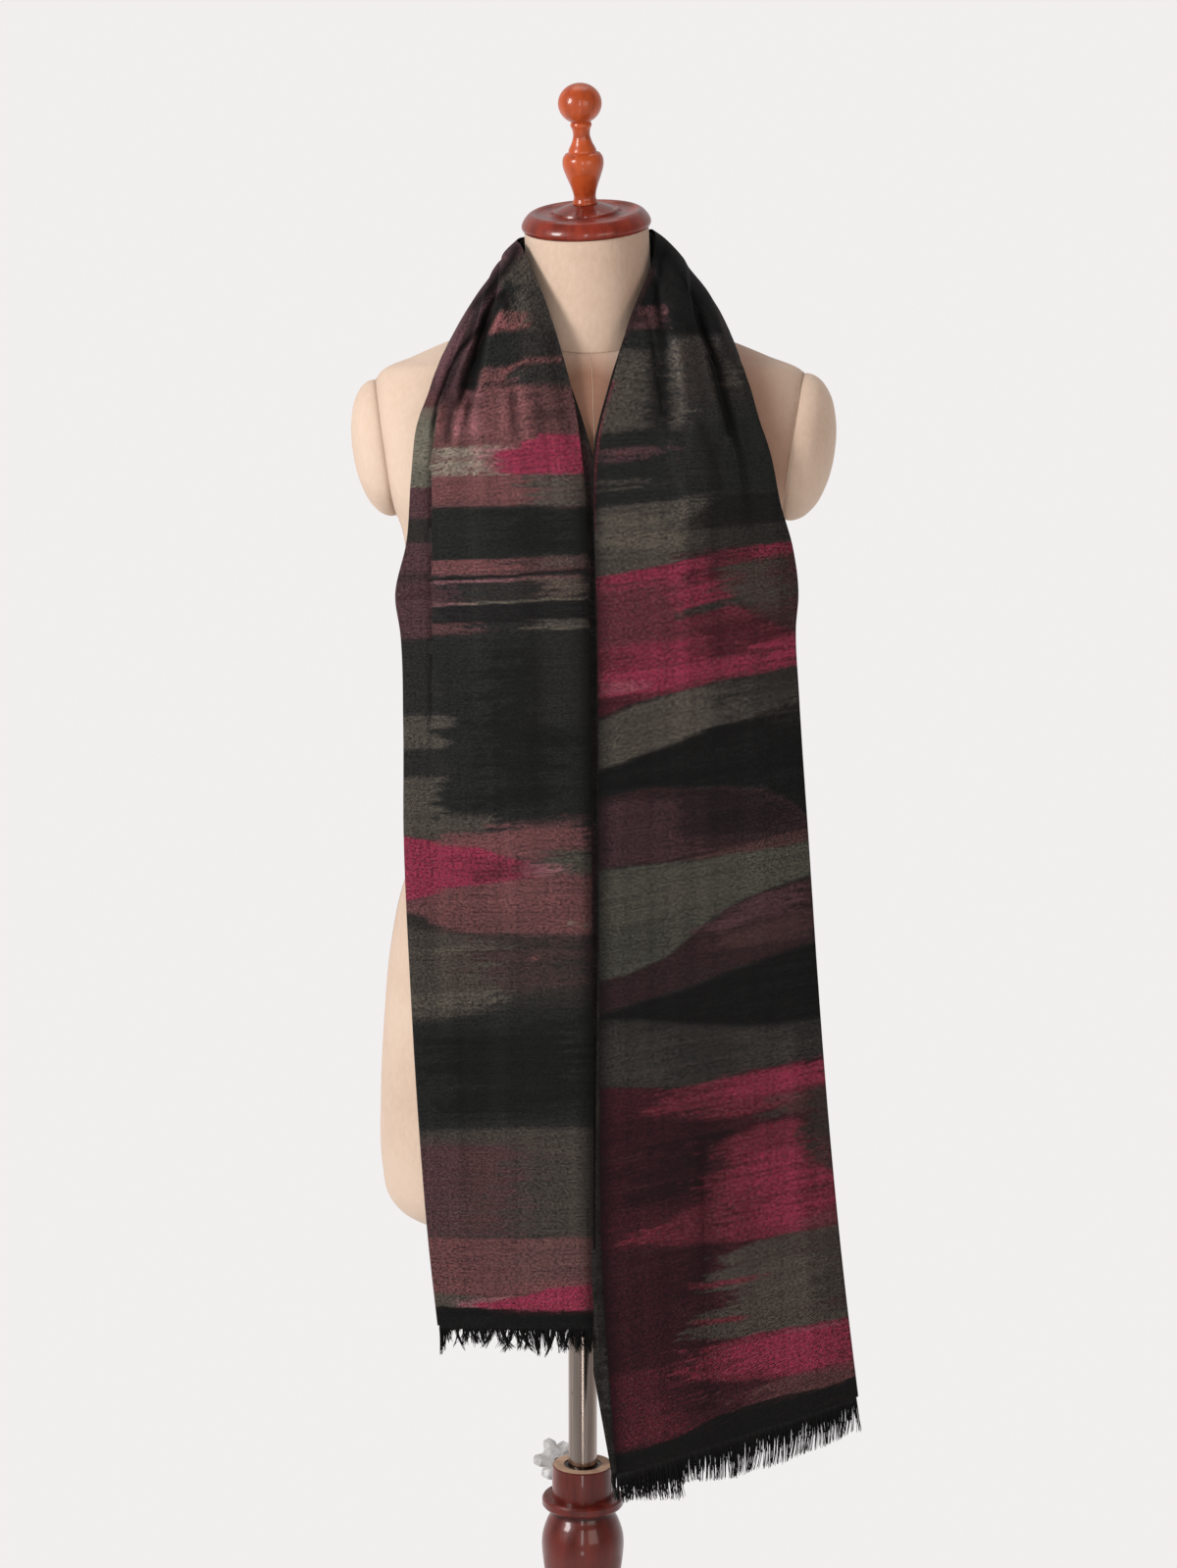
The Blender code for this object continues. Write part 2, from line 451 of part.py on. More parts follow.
class Sheet:
    """The folded cloth's middle surface, by length along it and place across it."""

    def __init__(self):
        names = [row[0] for row in STATIONS]
        self.edges = np.array([row[1:9] for row in STATIONS], float)
        middles = (self.edges[:, 0:3] + self.edges[:, 3:6]) / 2
        steps = np.linalg.norm(np.diff(middles, axis=0), axis=1)
        self.lengths = np.concatenate([[0.0], np.cumsum(steps)])
        self.at = dict(zip(names, self.lengths))
        self.fold_at = [self.at[row[0]] for row in FOLD_LINES]
        self.fold_place = np.array([row[1] for row in FOLD_LINES], float)
        self.fold_height = np.array([row[2] for row in FOLD_LINES], float)
        self.reach = np.array([row[8] for row in STATIONS], float)

    def base(self, length, across):
        row = smooth_curve(self.lengths, self.edges[:, :7], length)
        inner, outer, crown = row[0:3], row[3:6], row[6]
        along = smooth_curve(self.lengths, self.edges[:, :6], length + 1.0) - row[:6]
        run = outer - inner
        run /= np.linalg.norm(run)
        edge = (LAYERS + CLOTH) / 2
        inner, outer = inner + run * CLOTH / 2, outer - run * edge
        middle_along = along[0:3] + along[3:6]
        normal = np.cross(middle_along, run)
        normal /= np.linalg.norm(normal)
        return inner + (outer - inner) * across + normal * crown * 4 * across * (1 - across)

    def section(self, length):
        """Points across the cloth with their normals, on every fold line and halfway between."""
        place = smooth_curve(self.fold_at, self.fold_place, length)
        height = np.array([
            np.interp(length, self.fold_at, self.fold_height[:, k]) for k in range(place.size)
        ])
        places, heights = [place[0]], [height[0]]
        for k in range(place.size - 1):
            before, after = height[max(k - 1, 0)], height[min(k + 2, place.size - 1)]
            heights.append((9 * (height[k] + height[k + 1]) - before - after) / 16)
            places.append((place[k] + place[k + 1]) / 2)
            heights.append(height[k + 1])
            places.append(place[k + 1])
        points, normals = [], []
        for u, h in zip(places, heights):
            point = self.base(length, u)
            along = self.base(length + 1.0, u) - self.base(length - 1.0, u)
            run = self.base(length, u + 0.01) - self.base(length, u - 0.01)
            normal = np.cross(along, run)
            normal /= np.linalg.norm(normal)
            points.append(point + normal * h)
            normals.append(normal)
        return np.array(points), np.array(normals)

    def wall(self, length):
        """Outside and inside points of the folded wall, front inner edge to back inner edge."""
        points, normals = self.section(length)
        run = points[-1] - points[-2]
        run -= normals[-1] * (run @ normals[-1])
        run /= np.linalg.norm(run)
        start = points[0] - points[1]
        start /= np.linalg.norm(start)
        back_first = points[0] + start * np.interp(length, self.lengths, self.reach)
        sides = []
        for radius in ((LAYERS + CLOTH) / 2, (LAYERS - CLOTH) / 2):
            path = [p + n * radius for p, n in zip(points, normals)]
            for angle in (math.pi / 4, math.pi / 2, 3 * math.pi / 4):
                turn = normals[-1] * math.cos(angle) + run * math.sin(angle)
                path.append(points[-1] + turn * radius)
            back = [p - n * radius for p, n in zip(points, normals)]
            back[0] = back_first - normals[0] * radius
            sides.append(path + back[::-1])
        return sides


def join_wall(name, outsides, insides, material):
    """A closed wall between two grids of points that face each other."""
    bm = bmesh.new()
    out = [[bm.verts.new(Vector(p) * MM) for p in row] for row in outsides]
    inn = [[bm.verts.new(Vector(p) * MM) for p in row] for row in insides]
    for r in range(len(out) - 1):
        for c in range(len(out[0]) - 1):
            bm.faces.new((out[r][c], out[r][c + 1], out[r + 1][c + 1], out[r + 1][c]))
            bm.faces.new((inn[r][c], inn[r + 1][c], inn[r + 1][c + 1], inn[r][c + 1]))
        for c in (0, -1):
            bm.faces.new((out[r][c], inn[r][c], inn[r + 1][c], out[r + 1][c]))
    for r in (0, -1):
        for c in range(len(out[0]) - 1):
            bm.faces.new((out[r][c], out[r][c + 1], inn[r][c + 1], inn[r][c]))
    return link_mesh(name, bm, material, 50)


def make_stretch(sheet, row, cloth):
    name, first, last, sections = row
    start, end = sheet.at[first], sheet.at[last]
    if first != STATIONS[0][0]:
        start += GAP
    if last != STATIONS[-1][0]:
        end -= GAP
    lengths = np.linspace(start, end, sections)
    walls = [sheet.wall(length) for length in lengths]
    join_wall(name, [w[0] for w in walls], [w[1] for w in walls], cloth)


def make_under_layer(sheet, cloth):
    """The inner fold's low corner, on the back layer's own points moved out."""
    left, right, top, hem = UNDER_LAYER
    fronts, backs = [], []
    offset = (LAYERS + CLOTH) / 2 + GAP
    for share in np.linspace(0, 1, 6):
        row_front, row_back = [], []
        for x in np.linspace(left, right, 5):
            height = top + (hem - top) * share
            point, normal = surface_at(sheet, x, height)
            row_front.append(point - normal * offset)
            row_back.append(point - normal * (offset + CLOTH))
        fronts.append(row_front)
        backs.append(row_back)
    join_wall("shawl_right_under_layer", fronts, backs, cloth)
    return [(f + b) / 2 for f, b in zip(fronts[-1], backs[-1])]


def surface_at(sheet, x, height):
    """The right tail's point at a place in the front view, found by two short searches."""
    length = np.interp(-height, [-row[3] for row in STATIONS[-8:]], sheet.lengths[-8:])
    across = 0.3
    for _ in range(12):
        point = sheet.base(length, across)
        inner, outer = sheet.base(length, 0.0), sheet.base(length, 1.0)
        across += (x - point[0]) / (outer[0] - inner[0])
        length += point[2] - height
        length = min(length, sheet.lengths[-1] + 40.0)
    along = sheet.base(length + 1.0, across) - sheet.base(length - 1.0, across)
    run = outer - inner
    normal = np.cross(along, run)
    return point, normal / np.linalg.norm(normal)


# ---------------------------------------------------------------- the fringe
def make_fringe(row, hem, facing, shuffle, material):
    """Locks that hang from a narrow strip just below a hem, as one body."""
    name, locks, shortest, longest, lean, share = row
    hem = np.array(hem)
    steps = np.linalg.norm(np.diff(hem, axis=0), axis=1)
    run = np.concatenate([[0.0], np.cumsum(steps)])
    pitch = run[-1] / locks
    marks = [0.0]
    for k in range(locks):
        middle = (k + 0.5 + shuffle.uniform(-0.12, 0.12)) * pitch
        marks += [middle - share * pitch / 2, middle + share * pitch / 2]
    marks.append(run[-1])
    points = np.array([[np.interp(m, run, hem[:, k]) for k in range(3)] for m in marks])
    facing = np.asarray(facing, float) * CLOTH / 2
    down = np.array((0.0, 0.0, -1.0))
    top = points + down * GAP * 1.3
    bottom = top + down * HEM_STRIP
    bm = bmesh.new()
    corners = [
        [bm.verts.new(Vector(p) * MM) for p in side]
        for side in (top + facing, top - facing, bottom - facing, bottom + facing)
    ]
    for k in range(len(points) - 1):
        for a, b in ((0, 1), (1, 2), (3, 0)):
            bm.faces.new((corners[a][k], corners[b][k], corners[b][k + 1], corners[a][k + 1]))
        base = [corners[2][k], corners[3][k], corners[3][k + 1], corners[2][k + 1]]
        if k % 2 == 0:
            bm.faces.new(base)
            continue
        hang_lock(bm, base, shuffle.uniform(shortest, longest), lean, shuffle)
    for k in (0, -1):
        bm.faces.new([side[k] for side in corners])
    return link_mesh(name, bm, material, 60)


def hang_lock(bm, base, length, lean, shuffle):
    """One tapered lock of four sides, bent once, grown from four points of the strip."""
    sway = shuffle.uniform(-0.05, 0.05)
    length *= MM
    ring = base
    middle = sum((v.co for v in base), Vector()) / 4
    for share, taper, drift in ((0.45, 0.75, lean + sway), (1.0, 0.35, (lean + sway) * 1.25)):
        shift = Vector((drift * length * share, 0.0, -length * share))
        shift.y = shuffle.uniform(-0.02, 0.02) * length * share
        next_ring = [bm.verts.new(middle + (v.co - middle) * taper + shift) for v in base]
        for i in range(4):
            k = (i + 1) % 4
            bm.faces.new((ring[i], ring[k], next_ring[k], next_ring[i]))
        ring = next_ring
    bm.faces.new(ring)


def make_shawl(cloth, black):
    sheet = Sheet()
    for row in STRETCHES:
        make_stretch(sheet, row, cloth)
    under_hem = make_under_layer(sheet, cloth)

    shuffle = random.Random(7)
    hems = {"fringe_right_under": (under_hem, (0.0, -1.0, 0.0))}
    for side, length in (("left", sheet.lengths[0]), ("right", sheet.lengths[-1])):
        points, normals = sheet.section(length)
        for layer, offset in (("front", LAYERS / 2), ("back", -LAYERS / 2)):
            hems[f"fringe_{side}_{layer}"] = (points + normals * offset, normals[len(normals) // 2])
    for row in FRINGES:
        hem, facing = hems[row[0]]
        make_fringe(row, hem, facing, shuffle, black)


def main():
    clear_scene()
    wood = make_material("red_brown_wood", (0.20, 0.022, 0.012), 0.22)
    cover = make_material("beige_cover", (0.62, 0.48, 0.37), 0.85)
    steel = make_material("steel", (0.52, 0.47, 0.43), 0.25, 1.0)
    dark_steel = make_material("dark_steel", (0.10, 0.08, 0.07), 0.40, 1.0)
    clear_plastic = make_material("clear_plastic", (0.86, 0.86, 0.85), 0.15)
    cloth = make_material("shawl_cloth", (0.09, 0.02, 0.035), 0.80)
    black = make_material("black_fringe", (0.008, 0.008, 0.008), 0.85)
    make_stand(wood, steel, dark_steel, clear_plastic)
    make_form(cover, wood)
    make_shawl(cloth, black)


main()
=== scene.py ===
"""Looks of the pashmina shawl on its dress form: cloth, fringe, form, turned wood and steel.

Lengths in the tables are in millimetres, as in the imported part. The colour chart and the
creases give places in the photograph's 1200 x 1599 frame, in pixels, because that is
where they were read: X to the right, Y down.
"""
import math

import bmesh
import bpy
import numpy as np
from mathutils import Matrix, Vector


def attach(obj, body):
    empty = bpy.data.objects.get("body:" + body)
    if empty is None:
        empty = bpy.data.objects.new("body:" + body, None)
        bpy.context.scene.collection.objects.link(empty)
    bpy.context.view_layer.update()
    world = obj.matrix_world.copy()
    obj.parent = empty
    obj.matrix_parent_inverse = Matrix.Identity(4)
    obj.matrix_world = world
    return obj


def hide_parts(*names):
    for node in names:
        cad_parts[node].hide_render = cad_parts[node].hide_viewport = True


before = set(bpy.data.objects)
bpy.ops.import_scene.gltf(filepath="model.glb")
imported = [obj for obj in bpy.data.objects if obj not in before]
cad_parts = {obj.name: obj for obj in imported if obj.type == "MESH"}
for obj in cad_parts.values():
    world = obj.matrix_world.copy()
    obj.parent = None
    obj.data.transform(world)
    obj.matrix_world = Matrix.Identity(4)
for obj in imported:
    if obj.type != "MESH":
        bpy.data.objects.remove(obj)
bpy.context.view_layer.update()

MM = 0.001
GAP = 0.3

# ---------------------------------------------------------------- camera and studio
CAMERA_PLACE = (0.005, -2.55, 1.40)
CAMERA_DOWN = math.radians(8.2)
LENS, SENSOR = 70.0, 36.0
FRAME_SIZE = (1200, 1599)
FLOOR_RADIUS = 750.0
FLOOR_COLOURS = (0.850, 0.834, 0.838), (0.870, 0.855, 0.860)
PAPER_LIGHT, PAPER_TINT = 0.885, (1.0, 0.970, 0.972, 1.0)  # as the camera sees it
# name, place, aim, width, height, watts, colour
LIGHTS = (
    ("key", (-2.8, -2.0, 2.35), (0.1, 0.0, 1.05), 1.0, 1.4, 109.0, (1.0, 0.975, 0.955)),
    ("fill", (1.7, -2.9, 1.5), (0.0, 0.0, 1.0), 1.6, 1.6, 23.0, (1.0, 0.87, 0.78)),
    ("strip", (-0.1, -3.3, 1.5), (0.0, 0.0, 0.8), 0.30, 1.7, 14.0, (1.0, 0.96, 0.93)),
    ("glint", (-0.03, -1.75, -0.05), (0.0, 0.0, 0.55), 0.20, 0.22, 0.95, (1.0, 0.97, 0.94)),
    ("top", (0.0, 0.3, 4.2), (0.0, 0.0, 1.0), 2.2, 1.6, 20.0, (1.0, 0.99, 0.98)),
)

# ---------------------------------------------------------------- the hard parts' sizes
POLE_RADIUS, POLE_BOTTOM, POLE_TOP = 12.5, 233.0, 700.0
COLUMN_TOP, BUSH_RADIUS, BUSH_DEPTH = 433.0, 16.3, 6.0
BORE_RADIUS = POLE_RADIUS + GAP
CORNER = 34.0  # degrees: a turned profile that bends more keeps its edge
BASE_RADIUS, BASE_TOP = 200.0, 40.0
CLAMP_HEIGHT = 422.5
CLAMP_DIRECTION = Vector((-0.54, 0.8417, 0.0)).normalized()
SCREW_RADIUS, COLLAR_RADIUS, NUT_RADIUS, NUT_THICKNESS = 3.0, 26.8, 5.4, 3.4
KNOB_START, KNOB_THICKNESS, KNOB_LOBES, KNOB_ROOT, KNOB_TIP = 43.0, 11.0, 5, 10.5, 18.4
CAP_CENTRE = Vector((3.4, 0.0, 1495.0))
CAP_LEAN_FRONT, CAP_LEAN_SIDE, CAP_BOSS_HEIGHT = 0.249, 0.055, 20.2
BALL_RADIUS, BALL_CENTRE, BALL_FLATTENED = 17.8, 81.3, 0.92

# radius, height
COLUMN_PROFILE = (
    (0.0, BASE_TOP + GAP), (34.0, BASE_TOP + GAP), (36.0, 44.0), (34.5, 50.0), (26.0, 56.0),
    (21.5, 70.0), (21.0, 92.0), (24.5, 130.0), (27.5, 165.0), (26.0, 200.0), (20.5, 232.0),
    (20.0, 243.0), (26.5, 248.0), (28.5, 254.0), (26.5, 260.0), (20.5, 265.0), (21.0, 280.0),
    (26.5, 305.0), (33.0, 335.0), (35.8, 358.0), (35.2, 370.0), (31.5, 382.0), (27.5, 390.0),
    (26.6, 395.5), (34.2, 396.3), (35.5, 398.0), (35.5, 403.0), (34.2, 404.8), (26.6, 405.6),
    (COLLAR_RADIUS, 420.0), (26.4, COLUMN_TOP - 0.8), (25.6, COLUMN_TOP),
)
BORE_PROFILE = (
    (BUSH_RADIUS, COLUMN_TOP), (BUSH_RADIUS, COLUMN_TOP - BUSH_DEPTH),
    (BORE_RADIUS, COLUMN_TOP - BUSH_DEPTH), (BORE_RADIUS, 75.0), (0.0, 75.0),
)
BASE_PROFILE = (
    (0.0, 0.0), (BASE_RADIUS - 3, 0.0), (BASE_RADIUS, 3.0), (BASE_RADIUS, 16.0),
    (BASE_RADIUS - 5, 22.0), (BASE_RADIUS - 13, 24.0), (BASE_RADIUS - 15, 27.0),
    (150.0, 31.0), (95.0, 35.5), (52.0, 38.5), (46.0, BASE_TOP), (0.0, BASE_TOP),
)
CAP_PROFILE = (
    (0.0, 0.0), (50.2, 0.0), (52.4, 0.9), (53.4, 3.2), (52.9, 6.0), (50.8, 9.6), (47.6, 13.0),
    (44.8, 14.5), (42.4, 14.2), (39.5, 12.6), (34.0, 11.5), (30.2, 11.8), (28.2, 13.2),
    (27.4, 15.2), (25.8, 16.0), (23.8, 15.6), (19.0, 17.8), (13.6, 19.8), (12.4, CAP_BOSS_HEIGHT),
    (0.0, CAP_BOSS_HEIGHT),
)
FINIAL_PROFILE = (
    (0, 0), (10.2, 0), (10.2, 1.6), (9.1, 4.5), (9.4, 8.5), (11.3, 15), (14, 22), (16.2, 28.5),
    (16.9, 33), (16.3, 37.6), (14.3, 40.8), (11.3, 42), (11.4, 43.6), (8.6, 49.5), (7, 54.5),
    (6.9, 57.5), (7.5, 60.8), (8.7, 63.4), (8.7, 64.7),
)

# ---------------------------------------------------------------- the form
# height, rise to the back, half width, front depth, back depth, squareness, middle in X
TORSO_RINGS = (
    (658, 0, 140, 80, 88, 2.2, 2), (660.5, 0, 149, 87, 95, 2.2, 2), (668, 0, 161, 97, 104, 2.2, 2),
    (681, 0, 170, 104, 110.5, 2.2, 2), (703, 0, 175, 108, 114, 2.2, 3),
    (770, 0, 176, 107, 114.5, 2.2, 3), (830, 0, 172.8, 105, 110, 2.2, 3),
    (890, 0, 167, 100, 102, 2.2, 3), (948, 0, 155, 94, 92, 2.2, 3), (1000, 0, 134, 87, 82, 2.2, 4),
    (1045, 0, 121, 84, 77, 2.2, 4), (1090, 0, 122, 88, 78, 2.2, 5), (1140, 0, 132, 100, 82, 2.2, 5),
    (1180, 0, 142, 112, 87, 2.2, 6), (1212, 0, 150, 116.5, 89.5, 2.2, 6),
    (1236, 0, 154, 112, 91.5, 2.2, 6), (1252, 0, 158.5, 107.5, 92.5, 2.2, 7),
    (1264, 0, 165.5, 103.5, 92.5, 2.25, 8), (1280, 0, 175.5, 97.5, 92, 2.3, 9),
    (1305, 0, 183.5, 88.5, 91, 2.35, 9.5), (1333, 0, 187.5, 78.5, 88, 2.4, 9.5),
    (1350, 0, 187, 71, 83, 2.35, 9), (1365, 0, 183, 64.5, 77, 2.3, 8.5),
    (1377, 0, 176, 60, 71, 2.25, 8), (1390, .1, 148, 56.5, 64, 2.2, 7),
    (1401, .2, 118, 54, 60, 2.2, 6), (1408, .3, 90, 52.5, 57.5, 2.1, 5.5),
    (1412.5, .38, 68, 51.8, 55.8, 2.05, 5), (1414, .41, 58, 51, 55, 2, 5),
)
NECK_RINGS = (
    (1414.0 + GAP, 0.41, 57.6, 50.6, 54.6, 2.0, 5.0), (1424.0, 0.39, 55.0, 49.5, 52.5, 2.0, 4.9),
    (1440.0, 0.36, 52.8, 49.4, 51.2, 2.0, 4.7), (1465.0, 0.30, 51.8, 49.6, 50.6, 2.0, 4.5),
    (1494.7, CAP_LEAN_FRONT, 51.2, 49.6, 50.4, 2.0, 3.4),
)
# name, the plane's X at its top, its height there, X at its foot, height there, toe-in,
# furthest X of the padded cap
ARMHOLES = (
    ("form_cap_left", -171.5, 1377.0, -154.5, 1260.0, 0.0, -190.5),
    ("form_cap_right", 179.0, 1377.0, 164.5, 1260.0, 0.12, 209.0),
)
CAP_SWELL = ((0.0, 1.0), (0.24, 0.985), (0.50, 0.90), (0.76, 0.70), (0.93, 0.41), (1.0, 0.14))
CAP_PEAK, CAP_RINGS, CAP_COUNT = 1.0, 40, 120
ARMPIT_BELOW = 1240.0
FORM_INSET = 0.4  # the smooth form stays within the faceted one
TORSO_COUNT = 200  # points round each ring of the torso
SEAM_RADIUS, STITCH_LENGTH = 0.34, 2.6

# ---------------------------------------------------------------- the shawl's surface
CLOTH, LAYERS = 1.2, 3.0  # as in the part: its wall, and between the two layers' middles
THIN = 0.8  # thickness of the cloth that shows
TWILL_REPEAT, DIAMOND_HEIGHT = 1.75, 3.5
# name, inner edge X Y Z, outer edge X Y Z, crown, reach of the back layer's inner edge
STATIONS = (
    ("left hem", 9.8, -127, 600.6, -120.1, -115, 596.7, 1, 0),
    ("left hip", 9.8, -127, 660, -126.2, -114, 656, 1, 1.5),
    ("left thigh", 9.8, -127, 767.4, -134.3, -112, 763.5, 1.5, 5),
    ("left belly", 9, -127, 889.8, -140.7, -110, 886.3, 2, 6),
    ("left waist", 8.2, -127, 1010.6, -145, -107, 1007.4, 3, 7),
    ("left rib", 7.4, -126, 1098, -144.9, -103, 1095.1, 4, 8),
    ("left underbust", 6.6, -125, 1168.7, -147, -97, 1170.1, 6, 8.5),
    ("left bust", 5.8, -123, 1201.4, -151.1, -90, 1198.8, 8, 9),
    ("left chest", 5, -116, 1246.2, -142.4, -84, 1240.4, 8, 9.5),
    ("left upper chest", .3, -95, 1308.5, -138.6, -77, 1291.2, 8, 10),
    ("left collarbone", -10, -70, 1371.4, -134.8, -71, 1330.4, 6, 0),
    ("left throat", -27.2, -55, 1427.9, -130.2, -69, 1346.1, 7, 0),
    ("left shoulder", -47.4, -26, 1475.7, -117.6, -60.5, 1377.3, 4, 0),
    ("left side", -52.4, 3, 1485, -103.2, -9, 1409.2, 2, 0),
    ("left nape", -34.2, 41.3, 1490, -80, 66, 1412.5, 3, 0),
    ("nape", 4, 55, 1494, 6, 92, 1397, 5, 0),
    ("right nape", 42, 42, 1492.5, 88, 66, 1408.5, 5, 0),
    ("right side", 58.3, 3, 1490, 119, -5, 1408.8, 6.5, 0),
    ("right shoulder", 54.2, -27, 1459.9, 129.2, -52, 1382.5, 8, 0),
    ("right throat", 37.6, -56, 1419.2, 136.4, -58.4, 1364.5, 8, 0),
    ("right collarbone", 25.6, -71, 1376.9, 142.8, -64, 1342, 7, 2.5),
    ("right upper chest", 12.1, -93, 1326.3, 152.5, -72, 1310.9, 8, 2.5),
    ("right breast", 8.5, -111, 1280.8, 160.1, -84, 1271.9, 8, 0),
    ("right chest", 9.4, -120, 1238.4, 169.4, -91, 1239.2, 8, 0),
    ("right bust", 10.6, -126, 1198.3, 174.1, -98, 1201.8, 8, 0),
    ("right underbust", 11.3, -128, 1168.7, 172, -103, 1174.5, 6, 0),
    ("right rib", 12, -129, 1113.7, 174.6, -107, 1123.3, 4, 0),
    ("right waist", 12.6, -130, 1010.6, 183, -111, 1007.8, 3, 0),
    ("right belly", 13.2, -130, 889.8, 192.1, -113, 886.7, 2, 1.5),
    ("right thigh", 13.8, -130, 767.4, 202.6, -115, 764, 1.5, 3.4),
    ("right hip", 15.5, -130, 651.6, 212.9, -116, 664.6, 1, 5.1),
    ("right knee", 21.2, -130, 559.5, 220.4, -117, 602, 1, 7.5),
    ("right hem", 27.8, -130, 473.2, 228.9, -118, 536.5, 1, 4),
)
# station, place of each fold line across the cloth, height of each line above the cloth
FOLD_LINES = (
    ("left hem", (0, .25, .50, .62, .74, .85, .93, 1), (0, .6, 0, -.4, .3, 0, .4, 0)),
    ("left rib", (0, .27, .50, .63, .74, .844, .92, 1), (0, 0, .6, 0, 0, -1.2, -.6, 0)),
    ("left bust", (0, .27, .52, .64, .74, .808, .89, 1), (0, 0, .6, 0, 0, -2.0, -1.2, 0)),
    ("left upper chest", (0, .30, .58, .70, .79, .874, .93, 1), (0, 0, .8, -1.5, .5, -3, -1, 0)),
    ("left collarbone", (0, .29, .56, .65, .74, .835, .91, 1), (0, 1, 2, -4, 0, -4.5, -1.2, 0)),
    ("left throat", (0, .28, .53, .62, .71, .80, .90, 1), (0, 1.5, 2, -7, -1, -6, -1, 0)),
    ("left shoulder", (0, .12, .23, .32, .43, .54, .73, 1), (0, 1.5, 2, -7, -1, -6, -1, 0)),
    ("left side", (0, .08, .15, .21, .29, .40, .62, 1), (0, 1, 1.5, -.8, .6, -.4, .4, 0)),
    ("nape", (0, .10, .20, .31, .43, .55, .75, 1), (0, -1, -4, 2, 2, -4, 1, 0)),
    ("right side", (0, .06, .11, .19, .30, .40, .62, 1), (0, .9, 1.5, 1.2, .8, -.4, .4, 0)),
    ("right shoulder", (0, .06, .12, .22, .38, .47, .71, 1), (0, -2, -5, 2, 2, -5.5, 0, 0)),
    ("right throat", (0, .17, .27, .38, .645, .715, .86, 1), (0, -1.5, -4, 2, 2, -6, -1, 0)),
    ("right collarbone", (0, .22, .34, .46, .73, .79, .895, 1), (0, -.5, -1, 1.5, 1.5, -4.5, -1, 0)),
    ("right upper chest", (0, .20, .36, .50, .78, .835, .92, 1), (0, 0, 0, .5, .8, -2, -.5, 0)),
    ("right bust", (0, .20, .36, .50, .74, .81, .91, 1), (0, 0, 0, 0, .4, 0, 0, 0)),
    ("right waist", (0, .20, .36, .50, .74, .82, .91, 1), (0, 0, .6, 0, 0, .5, 0, 0)),
    ("right hem", (0, .20, .36, .50, .74, .82, .91, 1), (0, .5, 0, -.6, .6, 0, -.4, 0)),
)
UNDER_LAYER = (20.0, 82.0, 665.0, 473.0)  # X from, X to, top and hem of the low inner corner
ROW_STEP = 1.5  # between rows of the cloth's mesh
FOLD_STEPS, TURN_STEPS, BACK_EVERY, INSIDE_EVERY = 9, 8, 3, 4
PIXEL, MIDDLE = 0.8, 609  # millimetres to a pixel at the shawl, and X between its tails

# For each side: kind, half width and height in mm, then X and Y of places in the photograph
CREASES = {
    "left": (
        ("step", 2.6, -1.53, 528, 258, 495, 300, 472, 342, 456, 388, 445, 430, 441, 470, 441, 800),
        ("ridge", 3, 1.53, 479, 353, 466, 378, 456, 400),
        ("trough", 2.6, -1.7, 518, 292, 505, 320, 493, 345, 487, 383, 480, 409, 470, 440),
        ("ridge", 2.4, 1.53, 522, 300, 510, 325, 499, 352, 493, 386, 487, 412),
        ("ridge", 3.2, 1.36, 452, 395, 450, 430, 452, 462),
        ("trough", 2.6, -1.19, 461, 398, 459, 430, 461, 458),
        ("ridge", 3.6, 1.36, 478, 392, 474, 425, 473, 458),
        ("ridge", 3.4, 1.36, 512, 398, 516, 428, 519, 456),
        ("trough", 2.6, -1.19, 523, 396, 525, 428, 527, 455),
        ("ridge", 4.2, 1.19, 534, 396, 536, 430, 540, 462),
        ("trough", 1.8, -1.36, 496, 389, 508, 392, 521, 388),
        ("ridge", 1.8, 1.02, 494, 384, 508, 387, 522, 383),
        ("trough", 3.2, -1.02, 560, 330, 566, 372, 574, 420, 580, 462),
        ("ridge", 5, .68, 480, 500, 486, 600, 492, 760),
        ("trough", 6, -.68, 540, 540, 546, 700, 550, 900),
        ("ridge", 6, .68, 520, 860, 514, 1000, 512, 1180),
        ("trough", 5, -.68, 466, 900, 470, 1050, 474, 1240),
        ("ridge", 5, .54, 580, 900, 582, 1100, 585, 1300),
        ("trough", 3, -1.08, 404, 612, 430, 606, 470, 604),
    ),
    "right": (
        ("ridge", 2.4, 1.87, 664, 262, 669, 271, 677, 314, 682, 350, 688, 400),
        ("trough", 2.4, -1.53, 655, 300, 664, 340, 672, 390, 680, 432),
        ("ridge", 3.4, 1.53, 688, 340, 693, 365, 697, 398, 698, 440),
        ("trough", 4, -1.02, 703, 330, 712, 372, 720, 420),
        ("step", 2, -2.21, 690, 279, 707, 314, 719, 353, 730, 398, 743, 442, 752, 469),
        ("ridge", 3, 1.02, 718, 330, 736, 380, 752, 430, 764, 480),
        ("trough", 6, -.68, 722, 470, 730, 600, 738, 760),
        ("ridge", 7, .81, 690, 480, 694, 620, 700, 800),
        ("ridge", 7, .68, 760, 620, 768, 800, 776, 1000),
        ("trough", 7, -.68, 660, 700, 662, 900, 668, 1100),
        ("trough", 4, -1.22, 716, 1130, 718, 1260, 724, 1400, 728, 1450),
        ("ridge", 6, .94, 740, 1180, 746, 1300, 752, 1430),
        ("trough", 4, -.68, 676, 1240, 680, 1360, 684, 1470),
        ("ridge", 6, .68, 800, 1000, 812, 1200, 826, 1400),
    ),
}

